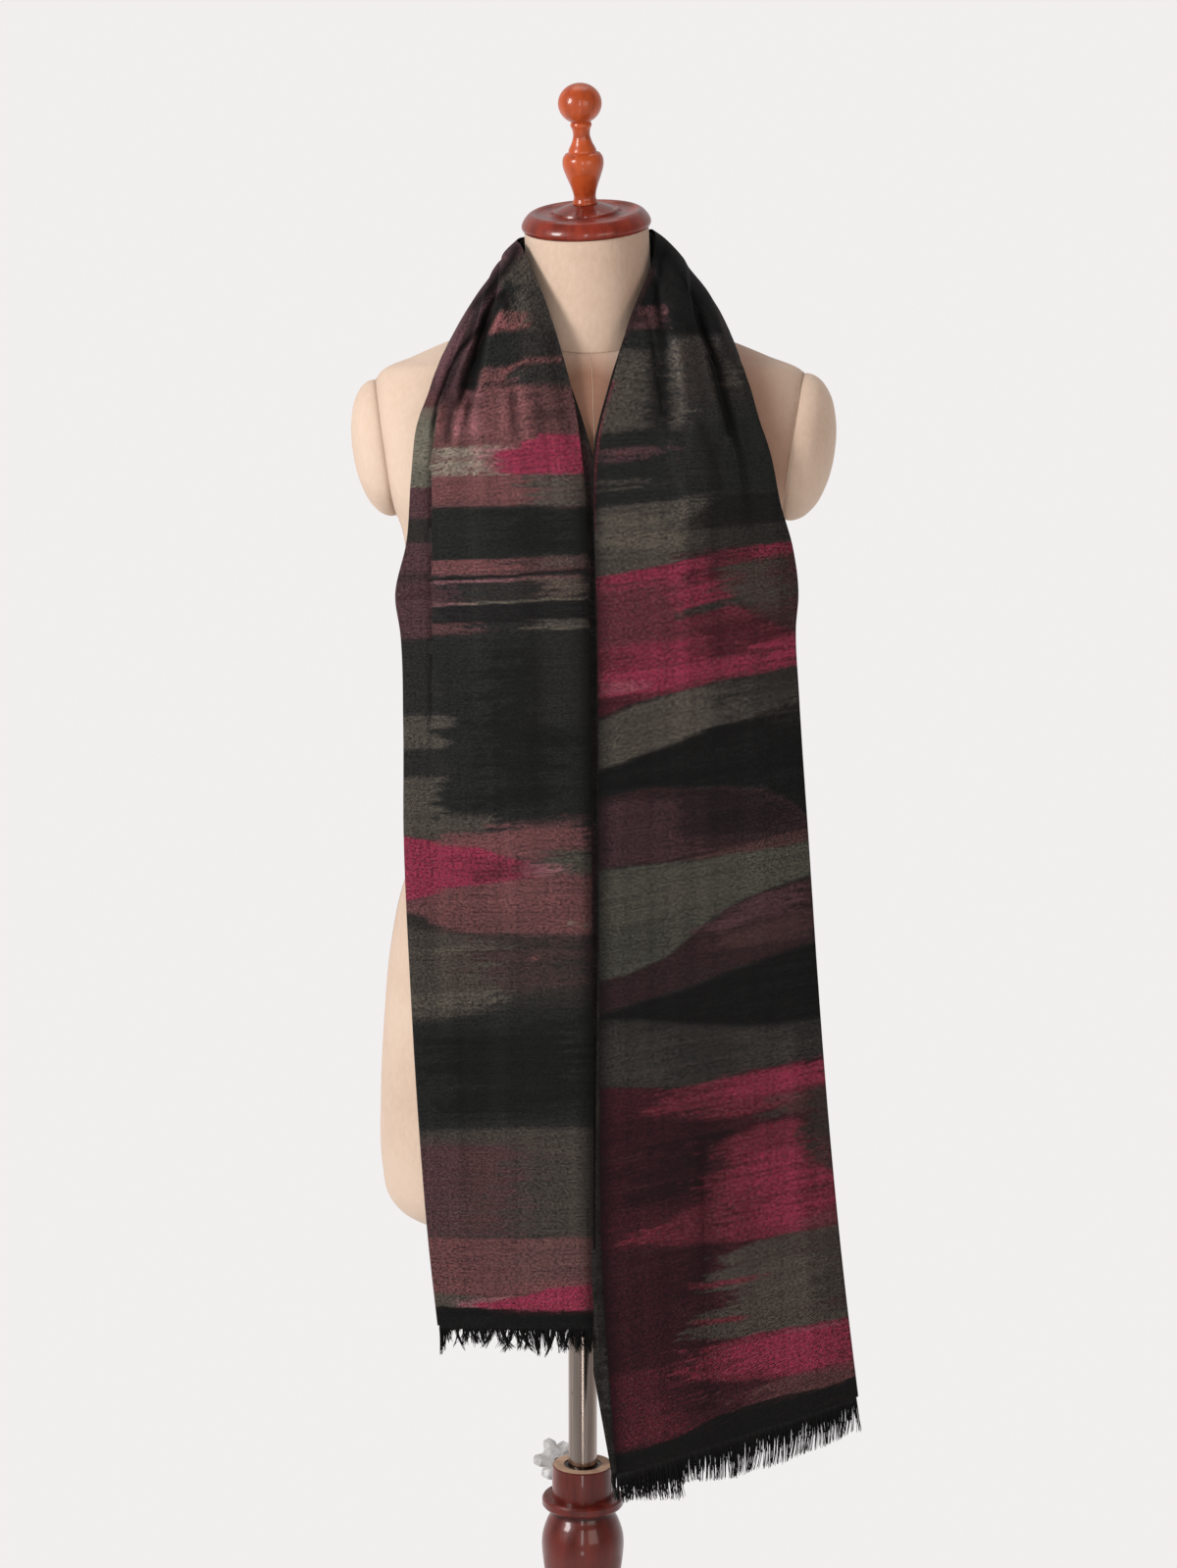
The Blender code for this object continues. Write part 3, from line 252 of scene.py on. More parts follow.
# Light and shade of the narrow folds, for each side: factor, half width in pixels, then places
FOLD_TONES = {
    "left": (
        (1.35, 5, 521, 254, 500, 277, 481, 305, 463, 345, 448, 385, 437, 412),
        (.14, 5, 531, 248, 523, 266, 511, 283, 499, 299, 488, 311, 479, 322),
        (1.55, 4.6, 517, 287, 505, 300, 492, 312, 480, 330, 468, 350, 457, 370, 449, 390, 444, 408),
        (.16, 2.6, 518, 296, 505, 306, 497, 319, 491, 334, 480, 347, 468, 361, 460, 375, 454, 393, 447,
         412, 442, 432, 440, 456),
        (1.5, 2.8, 488, 344, 477, 357, 467, 372, 459, 387, 453, 404, 449, 428, 446, 456),
        (.08, 6.4, 497, 318, 491, 348, 486, 368, 479, 386, 471, 402, 462, 420),
        (.45, 3, 466, 408, 460, 424, 456, 444, 455, 458),
        (1.75, 3.4, 481, 396, 475, 412, 467, 434, 463, 458),
        (.6, 2.6, 485, 396, 478, 418, 472, 440, 470, 456),
        (1.6, 3.4, 490, 376, 485, 395, 483, 425, 482, 450),
        (.22, 5, 513, 297, 515, 306, 517, 322),
        (.6, 2.4, 521, 398, 522, 424, 520, 452),
        (1.25, 3, 513, 396, 513, 424, 512, 450),
        (1.45, 4, 530, 378, 531, 405, 534, 425, 536, 455),
        (.75, 4, 545, 396, 550, 430, 552, 452),
        (1.35, 4, 536, 262, 533, 300, 534, 340, 540, 378),
        (.8, 5, 560, 330, 568, 372, 576, 420, 582, 462),
    ),
    "right": (
        (1.9, 1.8, 668, 240, 690, 252, 706, 273, 722, 297, 735, 322),
        (.3, 5, 664, 256, 680, 262, 694, 282, 705, 304, 712, 322, 718, 345, 725, 366, 732, 390, 739, 416,
         745, 438, 752, 460),
        (1.5, 1.5, 708, 318, 716, 340, 721, 362, 727, 381, 733, 402, 737, 416, 742, 440),
        (1.5, 5, 690, 266, 703, 290, 716, 315, 729, 345, 736, 366),
        (1.6, 3.4, 668, 268, 674, 290, 678, 315, 684, 345, 689, 366, 693, 390, 698, 418),
        (.3, 3.6, 667, 284, 670, 310, 675, 332, 677, 350, 681, 364),
        (.6, 5, 673, 368, 676, 400, 678, 432),
        (.65, 5, 690, 320, 700, 332, 708, 346),
        (1.35, 5, 680, 446, 688, 476, 696, 504, 700, 540),
        (1.3, 5, 703, 430, 703, 460, 706, 492),
        (.6, 6, 712, 428, 722, 458, 731, 488, 734, 520),
        (1.2, 5, 746, 372, 752, 392, 764, 430, 776, 470),
    ),
}

# ---------------------------------------------------------------- the ikat's colours
# sRGB as they show, the black warp among them
COLOURS = {
    "magenta": (124, 40, 63), "deep magenta": (93, 31, 45), "wine": (53, 23, 29),
    "dark wine": (42, 21, 25), "plum": (72, 47, 52), "dark plum": (44, 30, 32),
    "dusty rose": (98, 61, 63), "brown rose": (69, 46, 46), "salmon": (114, 68, 70),
    "pink": (134, 88, 95), "grey green": (64, 64, 57), "dark grey green": (47, 47, 44),
    "pale grey": (124, 115, 104), "grey leaf": (106, 103, 92),
    "grey beige": (70, 65, 60), "beige": (102, 95, 84), "olive": (60, 55, 51),
    "dark brown": (45, 40, 38), "dark grey": (41, 39, 37), "charcoal": (36, 36, 36),
    "green black": (30, 32, 31), "black": (20, 20, 20),
}
# colour, strength, feather of its ends, softness of its long edges, then X, top and bottom
# at two or more places. A feather of 0 runs on past both ends.
LEFT_BANDS = (
    ("black", 1, 0, 10, 300, -300, 60, 700, -300, 60),
    ("dark plum", .9, 40, 16, 360, 20, 70, 560, 10, 60),
    ("charcoal", 1, 0, 14, 380, 60, 260, 620, 50, 250),
    ("olive", .85, 16, 14, 500, 110, 170, 620, 105, 160),
    ("olive", .9, 9, 12, 508, 236, 330, 575, 225, 348),
    ("dark grey", .7, 8, 10, 542, 298, 344, 582, 296, 346),
    ("green black", .9, 6, 5, 501, 293, 319, 524, 292, 318),
    ("salmon", .85, 6, 3, 495, 321, 343, 518, 318, 338),
    ("salmon", .55, 5, 5, 519, 325, 341, 534, 322, 336),
    ("green black", .95, 7, 3, 484, 344, 377, 536, 338, 373),
    ("dark grey", .7, 9, 4, 530, 341, 370, 584, 337, 366),
    ("dark grey", .8, 9, 5, 536, 373, 394, 586, 370, 396),
    ("dusty rose", .75, 7, 5, 486, 378, 398, 520, 376, 394),
    ("dusty rose", .9, 0, 5, 440, 398, 520, 480, 395, 520, 536, 393, 516, 556, 396, 518),
    ("brown rose", .6, 10, 6, 545, 392, 452, 600, 396, 456),
    ("dark plum", .5, 8, 5, 545, 420, 431, 572, 418, 428),
    ("charcoal", .35, 12, 3, 495, 404, 408, 560, 402, 406),
    # Painted highlight: this faint pink lies on the crest of a ridge of the shoulder's creases.
    ("pink", .35, 8, 4, 470, 400, 450, 484, 400, 450),
    ("pale grey", .95, 22, 3, 430, 460, 488, 500, 456, 486),
    ("dusty rose", .6, 16, 2, 430, 469, 472, 496, 467, 470),
    ("pink", .7, 14, 3, 498, 459, 480, 545, 457, 478),
    ("magenta", 1, 6, 2, 508, 461, 483, 529, 459, 485, 531, 452, 486, 545, 450, 486, 547, 445, 486, 610,
     444, 486),
    ("dusty rose", .95, 0, 3, 380, 488, 514, 545, 486, 511, 560, 486, 512),
    ("grey beige", .9, 10, 4, 545, 486, 519, 612, 483, 515),
    ("dusty rose", .75, 12, 4, 441, 508, 521, 468, 508, 518),
    ("green black", 1, 0, 4, 380, 521, 574, 470, 517, 572, 612, 518, 568),
    ("black", .5, 14, 10, 515, 522, 566, 565, 520, 564),
    ("dusty rose", .9, 10, 2, 380, 574, 589, 525, 572, 587),
    ("dusty rose", .45, 14, 3, 525, 571, 588, 612, 566, 580),
    ("grey beige", .45, 10, 4, 560, 568, 579, 612, 566, 577),
    ("pink", .8, 12, 1.2, 436, 594.4, 596.6, 520, 591.2, 593.4, 590, 587, 589),
    ("black", .9, 10, 1.2, 436, 591.4, 593.8, 520, 587, 589.4, 604, 579, 581.4),
    ("plum", .8, 16, 4, 380, 598, 617, 474, 597, 616),
    ("dark grey", .85, 12, 4, 474, 597, 616, 552, 592, 612),
    ("brown rose", .55, 12, 5, 548, 589, 612, 606, 586, 608),
    ("beige", .35, 12, 4, 556, 590, 610, 606, 588, 606),
    ("pink", .6, 12, 1.2, 430, 617, 619, 480, 615.4, 617.4),
    ("beige", .7, 12, 1.2, 478, 615.6, 617.4, 604, 608.6, 610.4),
    ("black", .6, 20, 2, 430, 621, 637, 606, 612, 634),
    ("grey beige", .8, 9, 2, 552, 633, 643, 604, 630, 640),
    ("beige", .8, 8, 1, 552, 641, 642.6, 606, 638.4, 640),
    ("dusty rose", .6, 12, 3, 380, 639, 649, 476, 637, 648),
    ("green black", .8, 0, 14, 380, 650, 846, 612, 645, 834),
    ("black", .6, 16, 30, 500, 660, 826, 566, 660, 822),
    ("dark grey", .4, 10, 14, 546, 648, 740, 610, 646, 736),
    ("grey beige", .75, 10, 10, 441, 830, 854, 505, 834, 852),
    ("dusty rose", .85, 14, 6, 438, 848, 866, 520, 850, 878),
    ("dusty rose", .95, 18, 12, 505, 842, 884, 560, 838, 876, 612, 836, 872),
    ("grey green", .85, 10, 6, 552, 868, 900, 612, 866, 892),
    ("dusty rose", .9, 0, 10, 380, 900, 948, 460, 898, 1012, 560, 890, 1012, 612, 892, 1006),
    ("brown rose", .6, 16, 18, 494, 930, 994, 536, 930, 994),
    ("magenta", 1, 12, 3, 380, 856, 918, 440, 862, 907, 490, 865, 902, 510, 873, 899, 540, 879, 895),
    ("pink", .6, 10, 5, 536, 880, 894, 566, 882, 892),
    ("wine", .6, 14, 8, 486, 876, 898, 534, 880, 896),
    ("dark plum", .6, 16, 16, 560, 1000, 1034, 612, 996, 1030),
    ("dark grey", .85, 0, 6, 380, 920, 1060, 413, 930, 1052, 440, 946, 1046, 492, 953, 1040),
    ("grey beige", .7, 16, 6, 380, 940, 1046, 436, 950, 1040, 500, 958, 1036),
    ("beige", .3, 18, 4, 380, 968, 974, 486, 966, 972),
    ("beige", .3, 18, 5, 380, 1016, 1030, 492, 1012, 1026),
    ("green black", .9, 0, 16, 380, 1046, 1160, 440, 1044, 1150, 520, 1026, 1146, 612, 1022, 1146),
    ("black", .6, 20, 20, 450, 1060, 1140, 590, 1040, 1130),
    ("olive", .95, 0, 7, 380, 1156, 1264, 520, 1150, 1262, 612, 1148, 1262),
    ("plum", .85, 22, 8, 380, 1160, 1262, 430, 1168, 1262, 525, 1166, 1260),
    ("brown rose", .65, 10, 12, 476, 1172, 1256, 506, 1172, 1254),
    ("dusty rose", .85, 0, 3, 380, 1262, 1338, 612, 1261, 1336),
    ("grey beige", .3, 20, 10, 520, 1266, 1306, 612, 1262, 1300),
    ("grey green", .8, 10, 4, 420, 1318, 1336, 482, 1320, 1334),
    ("pink", .6, 10, 3, 476, 1325, 1336, 512, 1322, 1334),
    ("magenta", .95, 10, 2, 500, 1327, 1340, 540, 1319, 1340, 560, 1313, 1340, 612, 1308, 1340),
    ("black", 1, 0, 1, 380, 1331, 1500, 445, 1332, 1500, 620, 1336, 1500),
)
# The outer strip of the left tail, where the cloth rolls to its fold.
LEFT_STRIP = (
    ("plum", .9, 0, 10, 300, 240, 418, 460, 240, 418),
    ("grey leaf", .95, 0, 4, 380, 414, 502, 460, 418, 500),
    ("dark grey green", .3, 0, 14, 380, 476, 500, 460, 480, 502),
    ("plum", .95, 0, 3, 380, 500, 531, 460, 498, 530),
    ("dark grey", .95, 0, 4, 380, 531, 555, 460, 530, 554),
    ("plum", .9, 0, 5, 380, 555, 654, 460, 554, 652),
    ("green black", .5, 0, 6, 380, 586, 596, 460, 584, 594),
    ("charcoal", 1, 0, 10, 380, 654, 734, 460, 652, 730),
    ("grey beige", .85, 0, 8, 380, 732, 766, 460, 730, 764),
    ("charcoal", .95, 0, 6, 380, 766, 796, 460, 764, 792),
    ("grey beige", .9, 0, 8, 380, 794, 852, 460, 792, 856),
    ("magenta", 1, 0, 3, 380, 850, 922, 412, 853, 920, 460, 860, 908),
    ("dusty rose", .8, 0, 4, 380, 920, 932, 412, 920, 931, 460, 908, 940),
    ("dark grey", .85, 0, 5, 380, 932, 1060, 412, 931, 1050, 460, 940, 1046),
    ("grey beige", .5, 0, 8, 380, 944, 1040, 460, 948, 1036),
    ("green black", .95, 0, 14, 380, 1050, 1160, 460, 1044, 1156),
    ("plum", .85, 0, 6, 380, 1158, 1264, 460, 1158, 1262),
    ("dusty rose", .85, 0, 3, 380, 1264, 1322, 460, 1262, 1320),
    ("grey green", .8, 0, 3, 380, 1320, 1336, 460, 1319, 1334),
    ("black", 1, 0, 1, 380, 1331, 1500, 460, 1332, 1500),
)
RIGHT_BANDS = (
    ("black", 1, 0, 10, 560, -300, 344, 900, -300, 344),
    ("charcoal", .8, 20, 16, 640, 30, 110, 800, 30, 110),
    ("dark plum", .8, 20, 12, 640, 112, 160, 800, 118, 166),
    ("plum", .62, 4, 3, 630, 314, 340, 650, 315, 340, 676, 313, 336),
    ("black", .7, 4, 3, 640, 322, 331, 656, 321, 330),
    ("dusty rose", .35, 4, 3, 659, 316, 336, 673, 316, 333),
    ("green black", .95, 6, 4, 620, 341, 359, 668, 338, 356),
    ("olive", .9, 9, 4, 596, 360, 446, 625, 359, 444, 664, 358, 438),
    ("grey beige", .55, 9, 6, 600, 372, 440, 658, 370, 434),
    # Painted shade: this black is the shade in the valley beside the rolled fold's edge.
    ("black", .55, 5, 14, 664, 352, 440, 682, 350, 440),
    # Painted highlight: this grey beige is the light streak on the soft ridge beside it.
    ("grey beige", .7, 4, 10, 684, 346, 438, 698, 350, 440),
    ("dark brown", .8, 7, 10, 694, 344, 412, 732, 346, 410),
    ("olive", .4, 7, 6, 697, 345, 352, 720, 346, 352),
    ("dark grey", .9, 6, 8, 730, 368, 408, 772, 366, 406),
    ("grey beige", .6, 5, 6, 738, 371, 396, 754, 370, 394),
    ("green black", .8, 0, 4, 590, 446, 516, 660, 441, 512, 700, 441, 506, 820, 412, 506),
    ("dark grey", .25, 20, 10, 680, 446, 500, 730, 440, 500),
    ("plum", .85, 16, 4, 596, 462, 476, 664, 457, 469),
    ("salmon", .4, 6, 2, 624, 464, 468, 642, 463, 467),
    ("grey beige", .65, 14, 1.6, 600, 493, 498, 655, 490, 494),
    ("grey beige", .65, 14, 1.6, 600, 501, 504.5, 650, 497.5, 500),
    ("grey beige", .8, 12, 4, 590, 521, 592, 640, 516, 585, 680, 512, 577, 700, 507, 571, 728, 503, 566),
    ("dark grey", .7, 24, 6, 726, 504, 566, 800, 498, 553),
    ("black", .7, 14, 6, 690, 533, 541, 740, 506, 539, 815, 500, 530),
    ("dark grey", .55, 20, 6, 700, 544, 570, 812, 530, 552),
    ("beige", .3, 16, 8, 600, 530, 560, 680, 524, 560),
    ("deep magenta", .92, 0, 2, 590, 594, 736, 612, 590, 732, 640, 584, 718, 670, 578, 709, 700, 570, 702,
     740, 563, 693, 775, 557, 687, 808, 552, 678, 840, 548, 674),
    ("magenta", .75, 10, 4, 610, 590, 608, 670, 579, 596, 735, 564, 600),
    ("magenta", .6, 12, 5, 745, 562, 572, 776, 557, 567),
    ("plum", .35, 20, 8, 606, 604, 664, 700, 592, 650),
    ("wine", .7, 18, 10, 712, 566, 620, 750, 560, 612),
    ("magenta", .6, 14, 6, 690, 602, 622, 748, 588, 610),
    ("dark brown", .85, 12, 10, 742, 574, 612, 770, 572, 630, 800, 566, 640, 830, 562, 642),
    ("grey beige", .4, 12, 10, 746, 578, 608, 790, 572, 626),
    ("dark grey green", .9, 10, 2, 690, 623, 630, 720, 616, 624, 748, 610, 617),
    ("green black", .5, 12, 1.6, 622, 597, 600, 690, 588, 591),
    ("wine", .7, 20, 12, 716, 626, 682, 780, 628, 672),
    ("magenta", .55, 26, 12, 640, 660, 704, 700, 652, 696),
    ("magenta", .8, 16, 5, 590, 688, 714, 640, 684, 710, 700, 676, 696, 770, 664, 684),
    ("pink", .35, 12, 4, 612, 696, 708, 650, 694, 704),
    ("magenta", .85, 12, 6, 778, 656, 684, 815, 646, 676),
    ("dark brown", .7, 14, 4, 770, 688, 700, 830, 676, 694),
    ("wine", .75, 12, 3, 590, 716, 738, 618, 712, 732, 650, 706, 717),
    ("grey beige", .95, 0, 5, 590, 742, 794, 615, 734, 784, 650, 719, 772, 700, 703, 752, 740, 694, 738),
    ("dark grey", .85, 16, 8, 736, 694, 738, 780, 688, 722, 840, 682, 708),
    ("black", .9, 0, 8, 590, 796, 822, 615, 786, 816, 650, 772, 806, 700, 752, 803, 740, 738, 803, 780,
     722, 803, 840, 706, 842),
    ("dark plum", .95, 0, 4, 590, 822, 892, 612, 815, 888, 640, 808, 884, 660, 803, 882, 720, 803, 873,
     780, 803, 858, 800, 812, 852, 840, 846, 846),
    ("plum", .4, 16, 8, 596, 822, 884, 700, 812, 876),
    ("black", .55, 20, 10, 700, 806, 852, 800, 806, 848),
    ("brown rose", .8, 12, 3, 716, 872, 878, 760, 860, 870, 800, 849, 864, 840, 842, 862),
    ("grey green", .95, 0, 4, 590, 892, 1006, 612, 888, 1000, 640, 884, 993, 680, 880, 974, 720, 876, 940,
     760, 868, 914, 800, 862, 900, 840, 852, 886),
    ("grey beige", .5, 24, 14, 606, 896, 950, 720, 884, 920),
    ("dark grey green", .4, 20, 14, 600, 955, 1000, 690, 930, 966),
    ("dark plum", .95, 0, 5, 590, 1008, 1042, 612, 1001, 1036, 640, 994, 1026, 680, 976, 1012, 720, 941,
     998, 760, 915, 982, 800, 901, 968, 850, 886, 952),
    ("plum", .7, 14, 8, 735, 930, 950, 770, 914, 934, 810, 902, 930),
    ("brown rose", .5, 16, 6, 744, 950, 966, 800, 934, 958, 840, 926, 950),
    ("black", .95, 0, 7, 590, 1042, 1042, 650, 1022, 1040, 700, 1008, 1044, 740, 991, 1046, 780, 976, 1046,
     850, 954, 1036),
    ("dark grey", .9, 0, 8, 590, 1040, 1108, 660, 1042, 1110, 720, 1046, 1106, 745, 1046, 1098, 770, 1045,
     1090, 800, 1044, 1084, 850, 1034, 1072),
    ("grey beige", .22, 20, 12, 600, 1050, 1106, 700, 1052, 1104),
    ("grey beige", .2, 16, 10, 740, 1050, 1090, 815, 1048, 1080),
    ("wine", 1, 0, 2, 590, 1108, 1500, 680, 1110, 1500, 720, 1106, 1500, 745, 1096, 1500, 770, 1089, 1500,
     800, 1084, 1500, 850, 1073, 1500, 900, 1066, 1500),
    ("deep magenta", .8, 22, 8, 690, 1112, 1144, 740, 1098, 1140, 790, 1087, 1128, 850, 1074, 1108),
    ("magenta", .55, 12, 8, 745, 1098, 1122, 800, 1085, 1110, 840, 1077, 1100),
    ("dark wine", .8, 26, 8, 620, 1142, 1236, 700, 1140, 1226, 760, 1138, 1196),
    ("black", .4, 24, 10, 650, 1168, 1230, 740, 1150, 1200),
    ("brown rose", .6, 12, 6, 790, 1116, 1138, 850, 1106, 1132),
    ("dark grey green", .8, 8, 2, 774, 1133, 1141, 802, 1128, 1136),
    ("deep magenta", .9, 16, 8, 730, 1166, 1262, 780, 1144, 1262, 812, 1140, 1258, 850, 1160, 1250, 870,
     1176, 1240),
    ("magenta", .6, 18, 12, 770, 1176, 1252, 822, 1168, 1250),
    ("deep magenta", .8, 20, 8, 660, 1252, 1272, 700, 1234, 1268, 760, 1212, 1262),
    ("dark brown", .85, 8, 8, 822, 1108, 1184, 860, 1104, 1192),
    ("brown rose", .5, 10, 6, 820, 1242, 1254, 870, 1222, 1246),
    ("dark wine", .7, 30, 10, 620, 1276, 1410, 700, 1272, 1440, 740, 1268, 1448),
    # Painted shade: this faint black strip follows the trough of a crease low on the right tail.
    ("black", .3, 10, 20, 700, 1140, 1440, 732, 1140, 1440),
    ("olive", .9, 12, 3, 738, 1280, 1366, 752, 1272, 1362, 770, 1264, 1358, 800, 1257, 1355, 850, 1248,
     1346, 880, 1238, 1336),
    ("grey beige", .45, 12, 8, 752, 1300, 1356, 800, 1284, 1350, 862, 1270, 1330),
    ("dark brown", .6, 8, 6, 838, 1256, 1340, 880, 1244, 1330),
    ("olive", .75, 16, 2, 716, 1338, 1366, 756, 1330, 1362),
    ("deep magenta", .7, 10, 1.6, 720, 1308, 1313, 776, 1298, 1304),
    ("deep magenta", .8, 10, 1.6, 716, 1346, 1351, 758, 1340, 1345),
    ("deep magenta", .95, 16, 3, 706, 1376, 1406, 740, 1368, 1408, 780, 1358, 1406, 850, 1347, 1398, 900,
     1334, 1388),
    ("magenta", .75, 16, 8, 756, 1366, 1402, 800, 1357, 1400, 850, 1348, 1390),
    ("pink", .3, 12, 2, 790, 1358, 1361, 862, 1346, 1349),
    ("dusty rose", .45, 20, 4, 756, 1420, 1444, 800, 1404, 1432, 872, 1386, 1412, 900, 1380, 1404),
    ("brown rose", .4, 20, 6, 790, 1406, 1430, 880, 1384, 1408),
    ("deep magenta", .3, 24, 16, 600, 1404, 1484, 690, 1396, 1466),
    ("black", 1, 0, 1.2, 590, 1486, 1600, 628, 1482, 1600, 658, 1476, 1600, 696, 1462, 1600, 733, 1443,
     1600, 791, 1424, 1600, 842, 1414, 1600, 872, 1403, 1600, 900, 1397, 1600),
)
# For each side: colour, strength, half width in pixels, then places along the stroke
STROKES = {
    "left": (
        ("plum", .9, 11, 536, 246, 512, 262, 492, 296, 470, 340, 453, 378, 446, 396),
        ("plum", .8, 7, 512, 300, 494, 318, 482, 345, 470, 378, 456, 410),
        # Painted shade: the next two strokes are dark lines along a trough and along the step of the left
        # shoulder's creases.
        ("green black", .85, 4.5, 519, 290, 507, 314, 494, 340, 488, 372, 482, 396),
        ("charcoal", .5, 3, 501, 296, 488, 318, 474, 350, 462, 380, 450, 410),
        ("salmon", .7, 1.4, 513, 380, 535, 368.5, 572, 367),
        ("dark grey green", .9, 1.6, 518, 385.5, 540, 378),
        ("beige", .8, 1.8, 579, 940, 585, 942),
        ("beige", .6, 1.6, 595, 943, 599, 944),
        ("salmon", .6, 1.6, 543, 977, 548, 976),
    ),
    "right": (
        ("dark plum", .8, 6, 662, 280, 651, 302, 641, 327, 634, 346),
        ("deep magenta", .9, 3.4, 624, 392, 614, 414, 609, 438, 605, 466, 603, 500, 603, 540),
        ("salmon", .5, 1.6, 617, 404, 611, 425, 607, 446),
        ("dark brown", .9, 2, 687, 245, 700, 262, 720, 288, 729, 312, 739, 345, 748, 372),
    ),
}
WEFT_GAIN = 1.77
# Y in the frame, and X there of the left strip's border
LEFT_STRIP_EDGE = ((250, 300, 342, 388, 430, 470, 1000, 1340), (528, 495, 472, 456, 445, 441, 441, 446))
# Weft direction: Y in the frame and the rise to the right for each pixel there.
WEFT_RISE = {
    "left": ((200, 0.0), (420, 0.02), (600, 0.05), (1340, 0.01)),
    "right": ((200, 0.0), (360, 0.04), (520, 0.13), (600, 0.17), (1000, 0.19), (1250, 0.22), (1480, 0.32)),
}

# ---------------------------------------------------------------- fringe
# place along the left hem from its outer fold, threads, length, lean, spread at the tips
LEFT_CLUMPS = (
    (.012, 16, 25, .02, 1.6), (.05, 8, 15, .10, 2.4), (.105, 7, 22, .30, 1.2), (.17, 14, 17, -.1, 5.0),
    (.225, 14, 18, .15, 5.5), (.285, 16, 16, .05, 3.0), (.35, 12, 20, -.35, 3.0), (.41, 13, 22, .30, 4.0),
    (.475, 13, 24, -.28, 3.6), (.53, 12, 25, .34, 3.0), (.575, 12, 23, -.1, 2.6), (.62, 10, 26, .12, 1.8),
    (.655, 10, 25, -.06, 1.8), (.70, 12, 22, .1, 3.0), (.745, 12, 27, -.2, 2.4), (.79, 14, 21, .22, 3.6),
    (.835, 14, 24, -.12, 3.4), (.88, 15, 22, .16, 3.6), (.92, 15, 25, -.1, 3.4), (.96, 15, 24, .08, 3.4),
    (.99, 12, 25, -.04, 2.2),
)
THREAD_RADII = (0.36, 0.50)
LEFT_HEM_WIDTH, RIGHT_HEM_WIDTH = 130, 212
# place along the right hem, and the length and the curl of its threads there
RIGHT_LENGTHS = ((0, .33, .36, .5, .75, 1), (26, 26, 30, 36, 36, 30))
RIGHT_CURLS = ((0, .3, .6, 1), (-.04, .0, -.16, -.12))


# ================================================================ small tools
def to_frame(points):
    """Where points in millimetres show in the photograph's frame, in pixels."""
    points = np.asarray(points, float)
    focal = LENS / SENSOR * FRAME_SIZE[1]
    x = points[..., 0] * MM - CAMERA_PLACE[0]
    ahead = points[..., 1] * MM - CAMERA_PLACE[1]
    below = CAMERA_PLACE[2] - points[..., 2] * MM
    deep = ahead * math.cos(CAMERA_DOWN) + below * math.sin(CAMERA_DOWN)
    low = below * math.cos(CAMERA_DOWN) - ahead * math.sin(CAMERA_DOWN)
    return FRAME_SIZE[0] / 2 + focal * x / deep, FRAME_SIZE[1] / 2 + focal * low / deep


def drift(x, y, size_x, size_y, seed):
    """Smooth noise between -1 and 1 on cells of the given size."""
    table = np.random.default_rng(seed).uniform(-1, 1, (256, 256))
    gx, gy = np.asarray(x, float) / size_x, np.asarray(y, float) / size_y
    ix, iy = np.floor(gx).astype(int), np.floor(gy).astype(int)
    fx, fy = gx - ix, gy - iy
    fx, fy = fx * fx * (3 - 2 * fx), fy * fy * (3 - 2 * fy)
    a, b = table[ix % 256, iy % 256], table[(ix + 1) % 256, iy % 256]
    c, d = table[ix % 256, (iy + 1) % 256], table[(ix + 1) % 256, (iy + 1) % 256]
    return (a * (1 - fx) + b * fx) * (1 - fy) + (c * (1 - fx) + d * fx) * fy


def soft_step(x):
    """From 0 to 1 as x does, level at both ends."""
    x = np.clip(x, 0.0, 1.0)
    return x * x * (3 - 2 * x)


def bell(x):
    return np.exp(-(x**2))


def unit(v):
    return v / np.linalg.norm(v, axis=-1, keepdims=True)


def run_of(line):
    """How far along a line each of its points lies."""
    steps = np.linalg.norm(np.diff(np.asarray(line, float), axis=0), axis=-1)
    return np.concatenate([[0.0], np.cumsum(steps)])


def spaced(line, count, closed=False):
    """Points evenly spaced along a line or round a loop."""
    line = np.asarray(line, float)
    if closed:
        line = np.concatenate([line, line[:1]])
    run = run_of(line)
    at = np.linspace(0, run[-1], count, endpoint=not closed)
    return np.stack([np.interp(at, run, line[:, c]) for c in range(3)], axis=1)


def circle(count):
    """Cosines and sines of angles round a circle."""
    angles = np.linspace(0, math.tau, count, endpoint=False)
    return np.cos(angles), np.sin(angles)


def from_path(x, y, path):
    """Distance to a path, the side (1 is its right as it runs down), and place along it."""
    path = np.asarray(path, float).reshape(-1, 2)
    best = np.full(np.shape(x), 1e9)
    side, along = np.ones(np.shape(x)), np.zeros(np.shape(x))
    run = run_of(path)
    for (ax, ay), (bx, by), done, end in zip(path, path[1:], run, run[1:]):
        step = end - done
        t = np.clip(((x - ax) * (bx - ax) + (y - ay) * (by - ay)) / step**2, 0, 1)
        distance = np.hypot(x - (ax + t * (bx - ax)), y - (ay + t * (by - ay)))
        near = distance < best
        best = np.where(near, distance, best)
        side = np.where(near, np.sign((x - ax) * (by - ay) - (y - ay) * (bx - ax)), side)
        along = np.where(near, (done + t * step) / run[-1], along)
    return best, side, along


def cubic(s, a, b, start, end):
    """The curve from a to b at s, from 0 to 1, with these slopes at its ends."""
    return (
        (2 * s**3 - 3 * s**2 + 1) * a + (s**3 - 2 * s**2 + s) * start
        + (3 * s**2 - 2 * s**3) * b + (s**3 - s**2) * end
    )


def curve_at(knots, values, at):
    """Values at places between knots, on a smooth curve through all of them."""
    knots, values, at = (np.asarray(each, float) for each in (knots, values, at))
    slopes = np.gradient(values, knots, axis=0)
    i = np.clip(np.searchsorted(knots, at) - 1, 0, len(knots) - 2)
    span = (knots[i + 1] - knots[i])[:, None]
    s = (at - knots[i])[:, None] / span
    return cubic(s, values[i], values[i + 1], span * slopes[i], span * slopes[i + 1])


